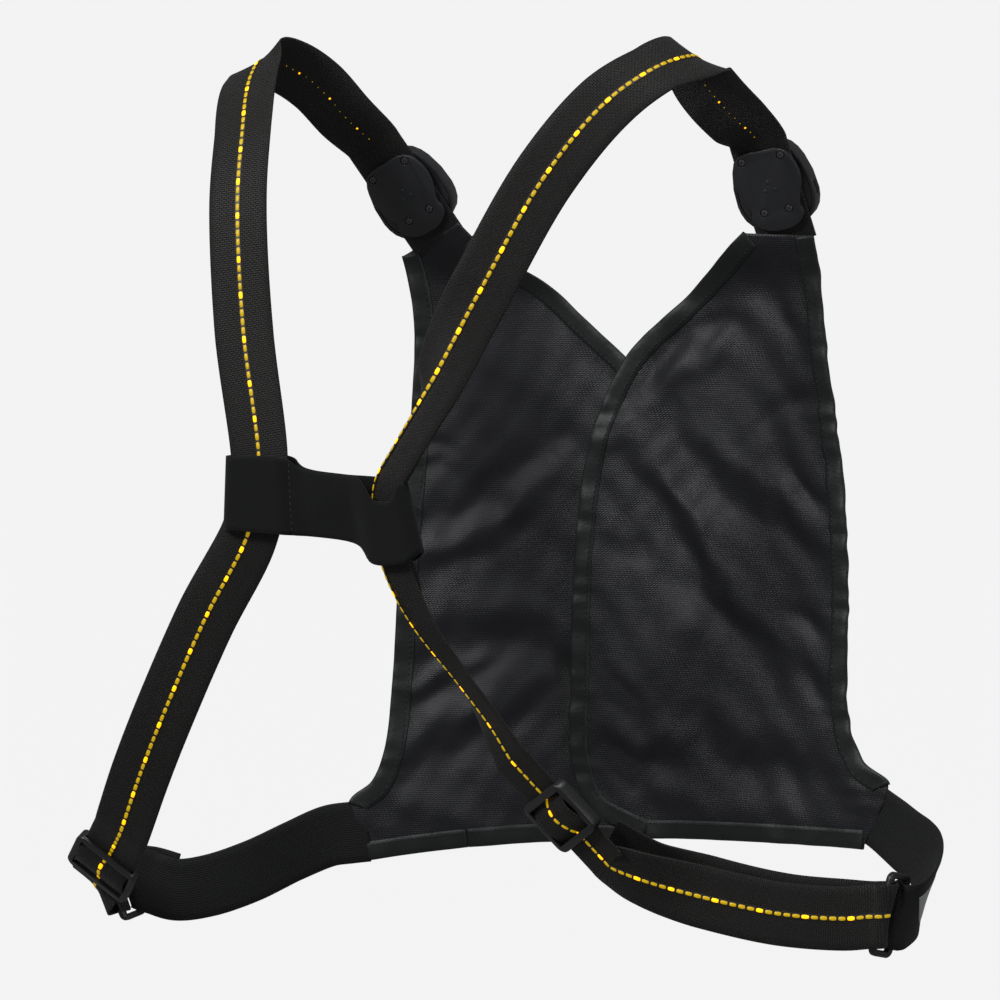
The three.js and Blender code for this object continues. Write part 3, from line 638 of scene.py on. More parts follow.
def lozenge(route, distance, length, width, base, rise):
    """A small rounded bar that lies along a route's face."""
    rings = []
    for part, size in ((-0.5, 0.45), (-0.42, 0.85), (0, 1), (0.42, 0.85), (0.5, 0.45)):
        row = route.row_at(distance + part * length)
        half = size * width / 2
        top = base + rise * size
        section = [(-half, base), (-half * 0.75, top), (0, base + rise * size * 1.15),
                   (half * 0.75, top), (half, base)]
        rings.append([route.point(row, side, height) for side, height in section])
    return loft(rings)


def dash_places(route):
    """Where the middle of each dash is, an even number of pitches from end to end."""
    start, length = route.distance[0], route.distance[-1] - route.distance[0]
    count = int(length / DASH_PITCH)
    return [start + (i + 0.5) * length / count for i in range(count)]


def add_dashes(name, route, body="vest", replaces=()):
    """The lit dashes on the outer face; about one in BRIGHT_EVERY sits over a lamp."""
    face = WEBBING_THICKNESS / 2
    plain, bright = [], []
    countdown = 2
    for distance in dash_places(route):
        countdown -= 1
        lit = countdown == 0
        if lit:
            countdown = random.choice([BRIGHT_EVERY - 1, BRIGHT_EVERY, BRIGHT_EVERY])
        length = DASH_LENGTH * random.uniform(0.9, 1.02)
        width = DASH_WIDTH * random.uniform(0.92, 1.05) * (1.08 if lit else 1)
        part = lozenge(route, distance, length, width, face - 0.1, 0.6)
        (bright if lit else plain).append(part)
    new_piece(f"{name}_dashes", *join_parts(plain), DASH, "light_string", body, replaces=replaces)
    if bright:
        new_piece(f"{name}_lamps", *join_parts(bright), BRIGHT, "light_string", body)


def add_inner_dots(name, route):
    """Specks of light that come through to the webbing's inner face."""
    face = -WEBBING_THICKNESS / 2
    faint, clear = [], []
    for i, distance in enumerate(dash_places(route)):
        lit = i % BRIGHT_EVERY == 2
        size = 1.7 if lit else random.uniform(0.5, 1.0)
        side = random.uniform(-0.3, 0.3)
        rings = []
        for height, reach in ((0.1, 1.0), (-0.2, 0.75), (-0.32, 0.3)):
            ring = []
            for k in range(6):
                angle = k * math.pi / 3
                radius = reach * size / 2
                row = route.row_at(distance + math.cos(angle) * radius)
                ring.append(route.point(row, side + math.sin(angle) * radius, face + height))
            rings.append(ring)
        (clear if lit else faint).append(loft(rings))
    new_piece(f"{name}_specks", *join_parts(faint), DASH, "light_string")
    new_piece(f"{name}_inner_lamps", *join_parts(clear), BRIGHT, "light_string")


def add_strap(side, stops, last_stop):
    """One shoulder's webbing, with its light string from the pod to last_stop."""
    route = Route(stops, PICOT_PITCH)
    band_piece(f"{side}_webbing", route, WEBBING_WIDTH, WEBBING_THICKNESS, WEBBING, "webbing",
               picot=PICOT_DEPTH, replaces=[f"{side}_webbing_strap"])
    lit = route.part(int(route.knots[STRING_FIRST_STOP]), int(route.knots[last_stop]) + 1)
    band_piece(f"{side}_string_carrier", lit, CARRIER_WIDTH, CARRIER_THICKNESS, CARRIER,
               "light_string", lift=WEBBING_THICKNESS / 2 + 0.05)
    add_dashes(f"{side}_string", lit, replaces=[f"{side}_light_string"])
    add_inner_dots(f"{side}_string", lit)


def add_hump(side):
    """The stretch of webbing that bulges over the slider's middle bar and goes where it goes."""
    axes = SLIDERS[side]
    half = SLIDER_WINDOW / 2 - 0.8
    stops = []
    for t in np.linspace(-1, 1, 9):
        height = 0.3 + HUMP_HEIGHT * math.cos(t * math.pi / 2) ** 0.8
        sway = 0.8 * math.sin(t * math.pi)
        stops.append((axes.at(sway, t * half) - axes.z * height, axes.x, 0))
    route = Route(stops, PICOT_PITCH)
    if np.dot(route.outward[0], axes.z) > 0:
        route.outward = -route.outward
    body = f"{side}_slider"
    band_piece(f"{side}_slider_webbing", route, WEBBING_WIDTH - 0.6, WEBBING_THICKNESS, WEBBING,
               "webbing", picot=PICOT_DEPTH, body=body)
    add_dashes(f"{side}_slider_string", route, body=body)


# ---- elastic side bands, reflective tape and the back sleeve ----

LEFT_BAND_STOPS = [
    *stops_across((-0.29, -0.11, 0.95), (-160.5, 77.5, -498), (-170.8, 71.5, -499)),
    stop((-182, 63.5, -500.5), (-0.05, 0, 1)),
    stop((-200, 48, -509), (0.2, 0.12, 0.96)),
    stop((-222, 28, -521), (0.1, 0.1, 0.98)),
    stop((-244, 11, -529), (0, 0.05, 1)),
    stop((-262, 0, -531), (-0.05, 0, 1)),
    stop((-278, -3, -527), (-0.2, -0.03, 0.98)),
    *stops_across((-0.32, -0.07, 0.94), (-288, -5.2, -523.5), (-296.5, -4.8, -525),
                  (-299.2, 1.2, -525.5), (-293.5, 6, -523)),
    stop((-284, 4.5, -524), (-0.25, -0.05, 0.96)),
    stop((-268, 8, -528.5), (-0.1, 0, 1)),
]

RIGHT_BAND_STOPS = [
    *stops_across((-0.41, 0.17, -0.89), (184, 69.5, -466), (191.5, 64.3, -469)),
    stop((202, 58, -474), (-0.4, 0.08, -0.9)),
    stop((213, 49.5, -479), (-0.4, 0.02, -0.9)),
    *stops_across((-0.4, 0, -0.9), (225, 38.5, -483), (235, 24, -487.5)),
    stop((240.5, 9, -496), (-0.36, -0.02, -0.93)),
    stop((242.5, -5, -504), (-0.31, -0.06, -0.95)),
    stop((240.5, -18, -511), (-0.25, -0.12, -0.96)),
    *stops_across((-0.2, -0.17, -0.96), (234.5, -29.5, -513.2), (228, -30.5, -511.7),
                  (225.3, -25, -512.1), (227.5, -14, -511.5)),
]
TAPE_FIRST_STOP, TAPE_LAST_STOP = 2, 8


def add_side_band(side, stops):
    """One elastic band from the bib to its ring, with the reflective tape on its outer face."""
    route = Route(stops, ELASTIC_STEP)
    band_piece(f"{side}_elastic", route, ELASTIC_WIDTH, ELASTIC_THICKNESS, ELASTIC, "elastic",
               picot=0.1, replaces=[f"{side}_elastic_band"])
    taped = route.part(int(route.knots[TAPE_FIRST_STOP]), int(route.knots[TAPE_LAST_STOP]))
    band_piece(f"{side}_reflector", taped, TAPE_WIDTH, TAPE_THICKNESS, TAPE, "reflective_tape",
               lift=ELASTIC_THICKNESS / 2 + 0.25, replaces=[f"{side}_reflective_tape"])


SLEEVE_TOP = [(-171, -240), (-131, -240), (-121, -246), (-84, -250), (-52, -252)]
SLEEVE_FOOT = [(-173, -285), (-128, -287), (-82, -292), (-72, -302), (-50, -301), (-41, -294)]
SLEEVE_SEAM = 0.36           # the seam beside the left strap, as a part of the sleeve's width
SLEEVE_GAP = (0.37, 0.74)    # the stretch between the straps, where its two faces nearly meet
SLEEVE_HOLE = 0.87           # the strap goes in behind a dip in the outer face's top edge


def along_polyline(points, part):
    """Where a curve through points is, at a part of the way across from its first to its last."""
    curve = spline([vec(*p) for p in points], [8] * (len(points) - 1))
    x = curve[0, 0] + (curve[-1, 0] - curve[0, 0]) * part
    return vec(x, np.interp(x, curve[:, 0], curve[:, 1]))


def sleeve_point(part, out, level):
    """A point of the sleeve: part across its width, out from its middle, level from foot to top."""
    dip = 0.26 * math.exp(-((part - SLEEVE_HOLE) / 0.085) ** 4) * (out > 0)
    level = level * (1 - dip)
    foot, top = along_polyline(SLEEVE_FOOT, part), along_polyline(SLEEVE_TOP, part)
    x, z = foot + (top - foot) * level
    apart = smoothstep(part, SLEEVE_GAP[0] - 0.08, SLEEVE_GAP[0] + 0.06)
    apart *= 1 - smoothstep(part, SLEEVE_GAP[1] - 0.08, SLEEVE_GAP[1] + 0.06)
    ripple = 0.5 * math.sin(part * 26 + level * 2) + 0.6 * math.sin(part * 9 - level * 5)
    pucker = 1.1 * math.exp(-((part - SLEEVE_SEAM) / 0.012) ** 2)
    return vec(x, -SLEEVE_BACK - out * (1 - 0.62 * apart) - ripple * apart + pucker, z)


def add_sleeve():
    """The knitted tube round both straps: wide at its ends and nearly flat between them."""
    levels, turn, face = 16, 10, 60      # steps from foot to top, round an end, across a face
    half = SLEEVE_ROOM / 2 + SLEEVE_WALL
    end = 0.055                          # each rounded end, as a part of the width

    def ring(level, radius):
        outline = []
        for sign in (1, -1):
            for i in range(face):
                part = end + (1 - 2 * end) * i / face
                outline.append((part if sign > 0 else 1 - part, sign * radius))
            for i in range(turn):
                angle = math.pi * i / turn
                reach = end * math.sin(angle) * radius / half
                part = 1 - end + reach if sign > 0 else end - reach
                outline.append((part, sign * radius * math.cos(angle)))
        return [sleeve_point(part, out, level) for part, out in outline]

    steps = np.linspace(0, 1, levels)
    outer = [ring(level, half) for level in steps]
    inner = [ring(level, half - SLEEVE_WALL) for level in steps[::-1]]
    points, faces = loft([*outer, *inner], caps=False)
    size, last = len(outer[0]), 2 * levels - 1
    for i in range(size):
        j = (i + 1) % size
        faces.append([i, j, last * size + j, last * size + i])
    uv = [(p[0] * MM, p[2] * MM) for p in points]
    new_piece("back_sleeve", points, faces, SLEEVE, "sleeve_knit", uv=uv,
              replaces=["back_connector_sleeve"])
    add_sleeve_stitches(half + 0.1)


def add_sleeve_stitches(face):
    """A row of stitches down the sleeve's outer face, beside the left strap."""
    stitches = []
    for level in np.arange(0.05, 0.97, 0.085):
        rings = []
        for rise, lift in ((0, 0), (0.012, 0.35), (0.045, 0.35), (0.057, 0)):
            rings.append([sleeve_point(SLEEVE_SEAM + across, face + lift + high, level + rise)
                          for across, high in ((-0.003, 0), (0, 0.25), (0.003, 0), (0, -0.5))])
        stitches.append(loft(rings))
    new_piece("sleeve_stitches", *join_parts(stitches), THREAD, "sleeve_knit")


# ---- bib ----

CLOSURE_EDGE = [(20, -495), (-16, -478), (-28, -450), (-29, -390), (-26, -310), (-17, -245),
                (8, -188), (48, -151), (97, -107)]
RIGHT_ARMHOLE = [(179, -488), (196, -447), (177, -434), (166, -408), (165, -345), (163, -280),
                 (154, -215), (146, -160), (141, -108)]
LEFT_ARMHOLE = [(-160, -516), (-171, -480), (-157, -466), (-149, -445), (-144, -400),
                (-139, -310), (-130, -190), (-131, -158), (-138, -125)]
LEFT_FOLD_Z = [-506, -484, -468, -447, -400, -310, -190, -146, -103]
FLAP_HEM = [(FOLD_X, -506), (-77, -504), (-51, -502), (-24, -501), (14, -500)]
FLAP_NECK = [(FOLD_X, -103), (-77, -123), (-51, -141), (-24, -165), (14, -198)]
TOP_LEAN = (-152, -112)      # between these heights the cloth comes back to lie on the webbing

# Soft folds of the bib's cloth: the crest's points [x, z], its height towards the wearer (less
# than 0 for a hollow) and its half width.
RIGHT_FOLDS = [
    ([(-8, -238), (18, -234), (48, -288), (84, -330), (122, -368)], 6.5, 10),
    ([(22, -252), (40, -300), (70, -340), (112, -384)], -5.0, 11),
    ([(2, -214), (36, -184), (74, -160)], -4.5, 7),
    ([(12, -224), (44, -196), (80, -172)], 4.0, 7),
    ([(30, -226), (60, -252), (92, -286), (150, -312)], -3.0, 10),
    ([(46, -222), (76, -240), (110, -270), (152, -300)], 4.0, 10),
    ([(100, -236), (120, -214), (146, -204)], -3.5, 7),
    ([(118, -248), (148, -278)], -3.0, 6),
    ([(124, -344), (152, -354)], -3.5, 6),
    ([(130, -374), (150, -398)], -3.5, 6),
    ([(64, -342), (46, -362), (24, -386)], 4.0, 9),
    ([(56, -400), (66, -428), (84, -446), (158, -446)], -4.5, 12),
    ([(74, -394), (96, -424), (156, -424)], 4.0, 14),
    ([(-14, -394), (20, -416)], -3.5, 7),
    ([(-10, -436), (16, -456), (52, -444)], -4.5, 8),
    ([(-6, -422), (26, -438), (56, -428)], 3.5, 8),
    ([(-12, -304), (18, -316)], -3.0, 7),
    ([(90, -126), (130, -172)], -3.0, 8),
    ([(60, -158), (94, -170)], -3.0, 8),
    ([(0, -470), (40, -466), (90, -474), (150, -470)], 3.0, 9),
    ([(160, -440), (178, -468)], 3.0, 8),
]
LEFT_FOLDS = [
    ([(-136, -306), (-104, -292), (-72, -266), (-34, -242)], -5.5, 9),
    ([(-132, -322), (-100, -308), (-68, -282), (-34, -258)], 5.0, 10),
    ([(-132, -340), (-98, -318), (-60, -290)], -3.5, 8),
    ([(-134, -248), (-104, -250)], -3.0, 5),
    ([(-134, -262), (-108, -264)], -3.0, 5),
    ([(-102, -182), (-72, -160)], -3.0, 8),
    ([(-66, -142), (-40, -170), (-16, -202)], -4.0, 10),
    ([(-138, -392), (-96, -374), (-60, -370), (-40, -392), (-32, -420)], -5.5, 12),
    ([(-130, -372), (-96, -352), (-58, -348), (-36, -372)], 4.0, 12),
    ([(-138, -420), (-110, -406), (-84, -384)], -4.0, 7),
    ([(-140, -408), (-116, -398), (-92, -380)], 3.5, 6),
    ([(-140, -464), (-96, -440), (-52, -416)], -4.5, 10),
    ([(-140, -448), (-94, -420), (-56, -400)], 3.5, 9),
    ([(-146, -476), (-110, -488), (-84, -494)], 3.5, 9),
]


def crease(x, z, points, height, width):
    """The relief of one fold: a bell across its crest that dies out towards both ends."""
    best = np.full(np.shape(x), 1e9)
    reached = np.zeros(np.shape(x))
    lengths = [math.dist(a, b) for a, b in zip(points, points[1:])]
    total, done = sum(lengths), 0
    for (x0, z0), (x1, z1), length in zip(points, points[1:], lengths):
        t = ((x - x0) * (x1 - x0) + (z - z0) * (z1 - z0)) / length ** 2
        t = np.clip(t, 0, 1)
        away = np.hypot(x - x0 - t * (x1 - x0), z - z0 - t * (z1 - z0))
        nearer = away < best
        best = np.where(nearer, away, best)
        reached = np.where(nearer, (done + t * length) / total, reached)
        done += length
    taper = 0.25 + 0.75 * np.sin(math.pi * np.clip(reached, 0.02, 0.98)) ** 0.6
    return height * taper * np.exp(-((best / width) ** 2))


def edge_x(points, z):
    """How far across an edge is at the height z."""
    curve = sorted(points, key=lambda p: p[1])
    return np.interp(z, [p[1] for p in curve], [p[0] for p in curve])


def puckers(x, z, edge, toward):
    """Short gathers that run in from the stitching along one edge."""
    away = (np.asarray(x) - edge_x(edge, z)) * toward
    beat = np.sin(z * 0.43 + 1.7 * np.sin(z * 0.11)) * (0.6 + 0.4 * np.sin(z * 0.057 + 1))
    slant = np.sin((z + away * 0.5) * 0.27 + 2.0)
    return (0.5 * beat + 0.35 * slant) * np.exp(-np.clip(away - 6, 0, 99) / 9)


def relief(x, z, folds):
    """All the folds, each shaken a little out of line, over slow waves of the whole cloth.

    The numbers inside the sines only serve to make the waves look irregular.
    """
    wavy_x = x + 3.5 * np.sin(z * 0.071 + 0.6) + 1.6 * np.sin(z * 0.19 + x * 0.05)
    wavy_z = z + 3.0 * np.sin(x * 0.083 + 1.9) + 1.4 * np.sin(x * 0.21 - z * 0.04)
    total = 0.9 * np.sin(x * 0.061 + 1.3 * np.sin(z * 0.023)) * np.sin(z * 0.047 + 0.8)
    total = total + 0.35 * np.sin((x + z) * 0.16 + 1.5 * np.sin(x * 0.05))
    total = total + 0.25 * np.sin((x - 0.6 * z) * 0.29 + 2 * np.sin(z * 0.037))
    for points, height, width in folds:
        total = total + 0.72 * crease(wavy_x, wavy_z, points, height, width * 1.1)
    return total


def right_relief(x, z):
    """Folds of the right panel, which stay clear of the left flap in front of it."""
    amount = relief(x, z, RIGHT_FOLDS) + puckers(x, z, CLOSURE_EDGE, 1)
    amount = amount + puckers(x, z, RIGHT_ARMHOLE[2:], -1)
    floor = -1.2 - 4.5 * smoothstep(x, 14, 40)
    calm = 1 - 0.8 * smoothstep(z, -135, -112)
    return np.maximum(amount, floor) * calm


def left_relief(x, z):
    """Folds of the left front, which stay clear of the right panel behind its flap."""
    amount = relief(x, z, LEFT_FOLDS) + puckers(x, z, LEFT_ARMHOLE[2:], 1)
    ceiling = 1.2 + 5 * smoothstep(-np.asarray(x), 30, 60)
    calm = 1 - 0.8 * smoothstep(z, -150, -125)
    return np.minimum(amount, ceiling) * calm


def flap_forward(x):
    """How far the left front steps away from the wearer, to pass in front of the right panel."""
    return FLAP_OFFSET * smoothstep(x, FOLD_X + 5, -40)


def on_surface(x):
    """The right panel keeps to the bib's own surface."""
    return 0 * np.asarray(x)


def tab_depth(x, z):
    """The depth of the bib's top where it lies on the webbing that comes down from a pod."""
    return np.where(x > 0, 75.2, 79.4) - 0.33 * (z + 110)


def bib_point(x, z, height, forward, folds):
    """A point of the bib, `height` in front of the cloth's middle."""
    slope = 2 * PANEL_BOW * x / PANEL_HALF_WIDTH ** 2
    size = np.sqrt(1 + slope ** 2)
    depth = PANEL_DEPTH - PANEL_BOW * (x / PANEL_HALF_WIDTH) ** 2 + forward(x)
    lean = smoothstep(z, *TOP_LEAN)
    depth = depth * (1 - lean) + tab_depth(x, z) * lean
    out = height - folds(x, z)
    return np.stack([x + slope / size * out, depth + out / size, z], axis=-1)


def edge_curve(points, step):
    return spline([vec(*p) for p in points], steps_for([vec(*p) for p in points], step))


def matched_edges(first, second, step):
    """Both edges sampled with the same number of steps to each span."""
    first = [vec(*p) for p in first]
    second = [vec(*p) for p in second]
    counts = [max(a, b) for a, b in zip(steps_for(first, step), steps_for(second, step))]
    return spline(first, counts), spline(second, counts)


def cloth_sheet(name, x, z, forward, folds, body, replaces):
    """A thin closed sheet over a grid of x and z."""
    front = bib_point(x, z, CLOTH_THICKNESS / 2, forward, folds)
    back = bib_point(x, z, -CLOTH_THICKNESS / 2, forward, folds)
    rows, columns = x.shape
    rings = []
    for row in range(rows):
        rings.append([*front[row], *back[row][::-1]])
    points, faces = loft(rings, caps=False)
    size = 2 * columns
    for start in (0, (rows - 1) * size):
        for i in range(columns - 1):
            faces.append([start + i, start + i + 1, start + size - 2 - i, start + size - 1 - i])
    uv = [(p[0] * MM, p[2] * MM) for p in points]
    piece = new_piece(name, points, faces, CLOTH, "cloth", body, uv, replaces)
    still = bib_point(x, z, 0, forward, lambda a, b: 0 * a) * MM
    return piece


def add_right_panel():
    start, end = matched_edges(CLOSURE_EDGE, RIGHT_ARMHOLE, CLOTH_STEP)
    part = np.linspace(0, 1, 86)[None, :, None]
    grid = start[:, None] * (1 - part) + end[:, None] * part
    cloth_sheet("right_front_cloth", grid[..., 0], grid[..., 1], on_surface, right_relief,
                "vest", ["right_front_panel"])


def add_left_front():
    """One sheet from the armhole to the free edge, across the flap's fold line."""
    fold = [(FOLD_X, z) for z in LEFT_FOLD_Z]
    start, middle = matched_edges(LEFT_ARMHOLE, fold, CLOTH_STEP)
    part = np.linspace(0, 1, 20)[None, :-1, None]
    side = start[:, None] * (1 - part) + middle[:, None] * part
    hem, neck = matched_edges(FLAP_HEM, FLAP_NECK, CLOTH_STEP)
    rise = (middle[:, 1] - LEFT_FOLD_Z[0]) / (LEFT_FOLD_Z[-1] - LEFT_FOLD_Z[0])
    share = rise[:, None, None]
    flap = hem[None] * (1 - share) + neck[None] * share
    grid = np.concatenate([side, flap], axis=1)
    sheet = cloth_sheet("left_front_cloth", grid[..., 0], grid[..., 1], flap_forward, left_relief,
                        None, ["left_side_panel", "left_front_flap"])
    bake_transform(sheet)


def edge_frames(points, inward, step):
    """Places along an edge with the direction that leads into the cloth."""
    curve = edge_curve(points, step)
    tangent = np.gradient(curve, axis=0)
    tangent /= np.linalg.norm(tangent, axis=1)[:, None]
    into = np.stack([-tangent[:, 1], tangent[:, 0]], axis=1) * inward
    return curve, into


def add_binding(name, points, inward, forward, folds, body, replaces, trim=(0, 0)):
    """Folded tape over an edge: round over the rim, flat legs, and a stitch row on each face."""
    curve, into = edge_frames(points, inward, 2.0)
    last = len(curve) - trim[1]
    curve, into = curve[trim[0]:last], into[trim[0]:last]
    rim = 1.4
    section = [(BINDING_WIDTH, -0.5), (BINDING_WIDTH - 0.3, -1.0), (8, -BINDING_HEIGHT),
               (3, -BINDING_HEIGHT - 0.15), (0, -BINDING_HEIGHT), (-rim * 0.75, -0.8), (-rim, 0),
               (-rim * 0.75, 0.8), (0, BINDING_HEIGHT), (3, BINDING_HEIGHT + 0.15),
               (8, BINDING_HEIGHT), (BINDING_WIDTH - 0.3, 1.0), (BINDING_WIDTH, 0.5)]
    rings, uv = [], []
    run = 0
    for i, (place, direction) in enumerate(zip(curve, into)):
        if i:
            run += math.dist(place, curve[i - 1])
        pucker = 0.16 * math.sin(2 * math.pi * run / (2 * STITCH_PITCH))
        ring = []
        for reach, height in section:
            x, z = place + direction * reach
            deep = height + math.copysign(pucker * (reach > 5), height)
            ring.append(bib_point(x, z, deep, forward, folds))
            uv.append((reach * MM, run * MM))
        rings.append(ring)
    new_piece(name, *loft(rings), BINDING, "binding", body, uv, replaces)
    face = BINDING_HEIGHT + 0.02
    stitches = []
    for side in (-1, 1):
        stitches += stitch_row(curve, into, STITCH_REACH, side * face, side, forward, folds)
    new_piece(f"{name}_stitches", *join_parts(stitches), THREAD, "binding", body)


def stitch_row(curve, into, reach, height, side, forward, folds):
    """Short raised threads at a fixed reach from an edge."""
    gaps = np.linalg.norm(np.diff(curve, axis=0), axis=1)
    distance = np.concatenate([[0], np.cumsum(gaps)])
    parts = []
    for middle in np.arange(STITCH_PITCH, distance[-1] - STITCH_PITCH, STITCH_PITCH):
        rings = []
        for offset, rise in ((-0.5, 0.0), (-0.3, 0.3), (0.3, 0.3), (0.5, 0.0)):
            at = middle + offset * STITCH_LENGTH
            place = vec(np.interp(at, distance, curve[:, 0]), np.interp(at, distance, curve[:, 1]))
            lead = vec(np.interp(at, distance, into[:, 0]), np.interp(at, distance, into[:, 1]))
            ring = []
            for across, lift in ((-0.35, 0), (-0.2, 0.3), (0.2, 0.3), (0.35, 0), (0, -0.2)):
                x, z = place + lead * (reach + across)
                ring.append(bib_point(x, z, height + side * (lift + rise - 0.25), forward, folds))
            rings.append(ring)
        parts.append(loft(rings))
    return parts


def add_bindings():
    flap = dict(forward=flap_forward, folds=left_relief, body="left_flap")
    still = dict(forward=flap_forward, folds=left_relief, body="vest")
    right = dict(forward=on_surface, folds=right_relief, body="vest")
    side_hem = [LEFT_ARMHOLE[0], (-140, -512.5), (-118, -509), (FOLD_X - 0.4, -506)]
    add_binding("right_armhole_tape", RIGHT_ARMHOLE, 1, replaces=["right_armhole_binding"],
                trim=(22, 0), **right)
    add_binding("closure_edge_tape", CLOSURE_EDGE, -1, replaces=["closure_edge_binding"], **right)
    right_hem = [CLOSURE_EDGE[0], (60, -493), (120, -490.5), RIGHT_ARMHOLE[0]]
    add_binding("right_hem_tape", right_hem, 1, replaces=["right_hem_binding"], trim=(1, 0),
                **right)
    add_binding("left_armhole_tape", LEFT_ARMHOLE, -1, replaces=["left_armhole_binding"],
                trim=(19, 0), **still)
    add_binding("left_side_hem_tape", side_hem, 1, replaces=["left_side_hem_binding"], **still)
    add_binding("left_neck_tape", FLAP_NECK, -1, replaces=["left_neck_binding"], trim=(6, 0),
                **flap)
    add_binding("left_flap_hem_tape", FLAP_HEM, 1, replaces=["left_flap_hem_binding"], **flap)
    flap_edge = [FLAP_HEM[-1], (14, -400), (14, -300), FLAP_NECK[-1]]
    add_binding("left_flap_edge_tape", flap_edge, 1, replaces=["left_flap_edge_binding"],
                trim=(1, 1), **flap)


# ---- hard parts ----

def refine(node, width, look):
    """A copy of a CAD node with its edges rounded to a width, which stands for it."""
    source = frame["nodes"][node]
    mesh = source.data.copy()
    work = bmesh.new()
    work.from_mesh(mesh)
    bmesh.ops.remove_doubles(work, verts=work.verts, dist=1e-6)
    bmesh.ops.dissolve_limit(work, angle_limit=math.radians(4), verts=work.verts,
                             edges=work.edges)
    work.to_mesh(mesh)
    work.free()
    mesh.materials.clear()
    mesh.materials.append(look)
    piece = bpy.data.objects.new(f"{node}_shape", mesh)
    bpy.context.scene.collection.objects.link(piece)
    mesh.polygons.foreach_set("use_smooth", [True] * len(mesh.polygons))
    bevel = piece.modifiers.new("round", "BEVEL")
    bevel.width = width * MM
    bevel.segments = 3
    bevel.limit_method = "ANGLE"
    bevel.angle_limit = math.radians(35)
    bevel.harden_normals = True
    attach(piece, source["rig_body"])
    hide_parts(node)


def screw_mesh():
    """A pan-head screw with a cross recess, about z with its head up."""
    work = bmesh.new()
    profile = [(2.1, 0.0), (2.4, 0.25), (2.35, 0.7), (1.9, 1.15), (1.2, 1.3)]
    sides = 24
    rings = []
    for radius, z in profile:
        rings.append([work.verts.new((radius * MM * math.cos(a), radius * MM * math.sin(a), z * MM))
                      for a in (2 * math.pi * k / sides for k in range(sides))])
    for low, high in zip(rings, rings[1:]):
        for i in range(sides):
            j = (i + 1) % sides
            work.faces.new((low[i], low[j], high[j], high[i]))
    work.faces.new(rings[0][::-1])
    work.faces.new(rings[-1])
    mesh = bpy.data.meshes.new("screw_head")
    work.to_mesh(mesh)
    work.free()
    return mesh


def cross_mesh():
    """The cross-shaped tool that cuts a screw's recess."""
    work = bmesh.new()
    long, narrow, deep = 2.9 * MM, 0.62 * MM, 1.6 * MM
    for x, y in ((long, narrow), (narrow, long)):
        bmesh.ops.create_cube(work, size=1, matrix=Matrix.Diagonal((x, y, deep, 1)))
    mesh = bpy.data.meshes.new("screw_cross")
    work.to_mesh(mesh)
    work.free()
    return mesh


SCREW_PLACES = [(-13, 19), (13, 19), (-8.3, -15.5), (8.3, -15.5)]
COVER_TOP = 4.0              # heights above a pod's middle plane
SCREW_SEAT = 2.5


def add_screws(side, head):
    """The rear cover's four screw heads, each turned a little differently."""
    axes = PODS[side]
    turn = Matrix([[*row] for row in np.stack([axes.x, axes.y, axes.z], axis=1)]).to_4x4()
    for i, (x, y) in enumerate(SCREW_PLACES):
        name = f"{side}_pod_cover_screw_{i + 1}"
        screw = bpy.data.objects.new(f"{name}_head", head.copy())
        bpy.context.scene.collection.objects.link(screw)
        place = Matrix.Translation((axes.at(x, y, SCREW_SEAT) * MM).tolist())
        spin = Matrix.Rotation(random.uniform(0, math.pi / 2), 4, "Z")
        screw.matrix_world = place @ turn @ spin
        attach(screw, "vest")
        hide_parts(name)


def make_screw_head():
    """The screw head's mesh, with the cross cut out of it."""
    head = bpy.data.objects.new("screw_head", screw_mesh())
    tool = bpy.data.objects.new("screw_cross", cross_mesh())
    for obj in (head, tool):
        bpy.context.scene.collection.objects.link(obj)
    tool.location.z = 1.35 * MM
    cut = head.modifiers.new("recess", "BOOLEAN")
    cut.operation = "DIFFERENCE"
    cut.object = tool
    cut.solver = "EXACT"
    cut.use_self = True
    bpy.context.view_layer.update()
    graph = bpy.context.evaluated_depsgraph_get()
    mesh = bpy.data.meshes.new_from_object(head.evaluated_get(graph))
    mesh.materials.clear()
    mesh.materials.append(STEEL)
    for obj in (head, tool):
        bpy.data.objects.remove(obj)
    return mesh


def add_generic_mark(side):
    """Three low dots in the middle of the rear cover."""
    axes = PODS[side]
    parts = []
    for x, y in ((-3.2, -1.8), (3.2, -1.8), (0, 3.4)):
        rings = []
        for radius, z in ((1.35, -0.3), (1.3, 0.1), (1.0, 0.28), (0.4, 0.34)):
            rings.append([axes.at(x + radius * math.cos(a), y + radius * math.sin(a),
                                  COVER_TOP + z)
                          for a in (k * math.pi / 8 for k in range(16))])
        parts.append(loft(rings))
    new_piece(f"{side}_pod_dots", *join_parts(parts), POD, "pod_plastic")


def add_hard_parts():
    head = make_screw_head()
    for side in ("left", "right"):
        refine(f"{side}_slider", 0.7, HARDWARE)
        refine(f"{side}_ring", 0.7, HARDWARE)
        refine(f"{side}_pod_rear_cover", 0.35, POD)
        refine(f"{side}_pod_front_shell", 0.3, POD)
        refine(f"{side}_pod_push_button", 0.4, RUBBER)
        refine(f"{side}_pod_port_cover", 0.4, RUBBER)
        add_screws(side, head)
        add_generic_mark(side)


# ---- stage, light and camera, in metres ----

CAMERA_AZIMUTH = 22          # degrees round from behind the wearer towards their right
CAMERA_ELEVATION = 5
CAMERA_DISTANCE = 3.2
CAMERA_LENS = 187.3          # focal length in millimetres for a 36 mm wide picture
OBJECT_MIDDLE = (0, 0, -0.27)


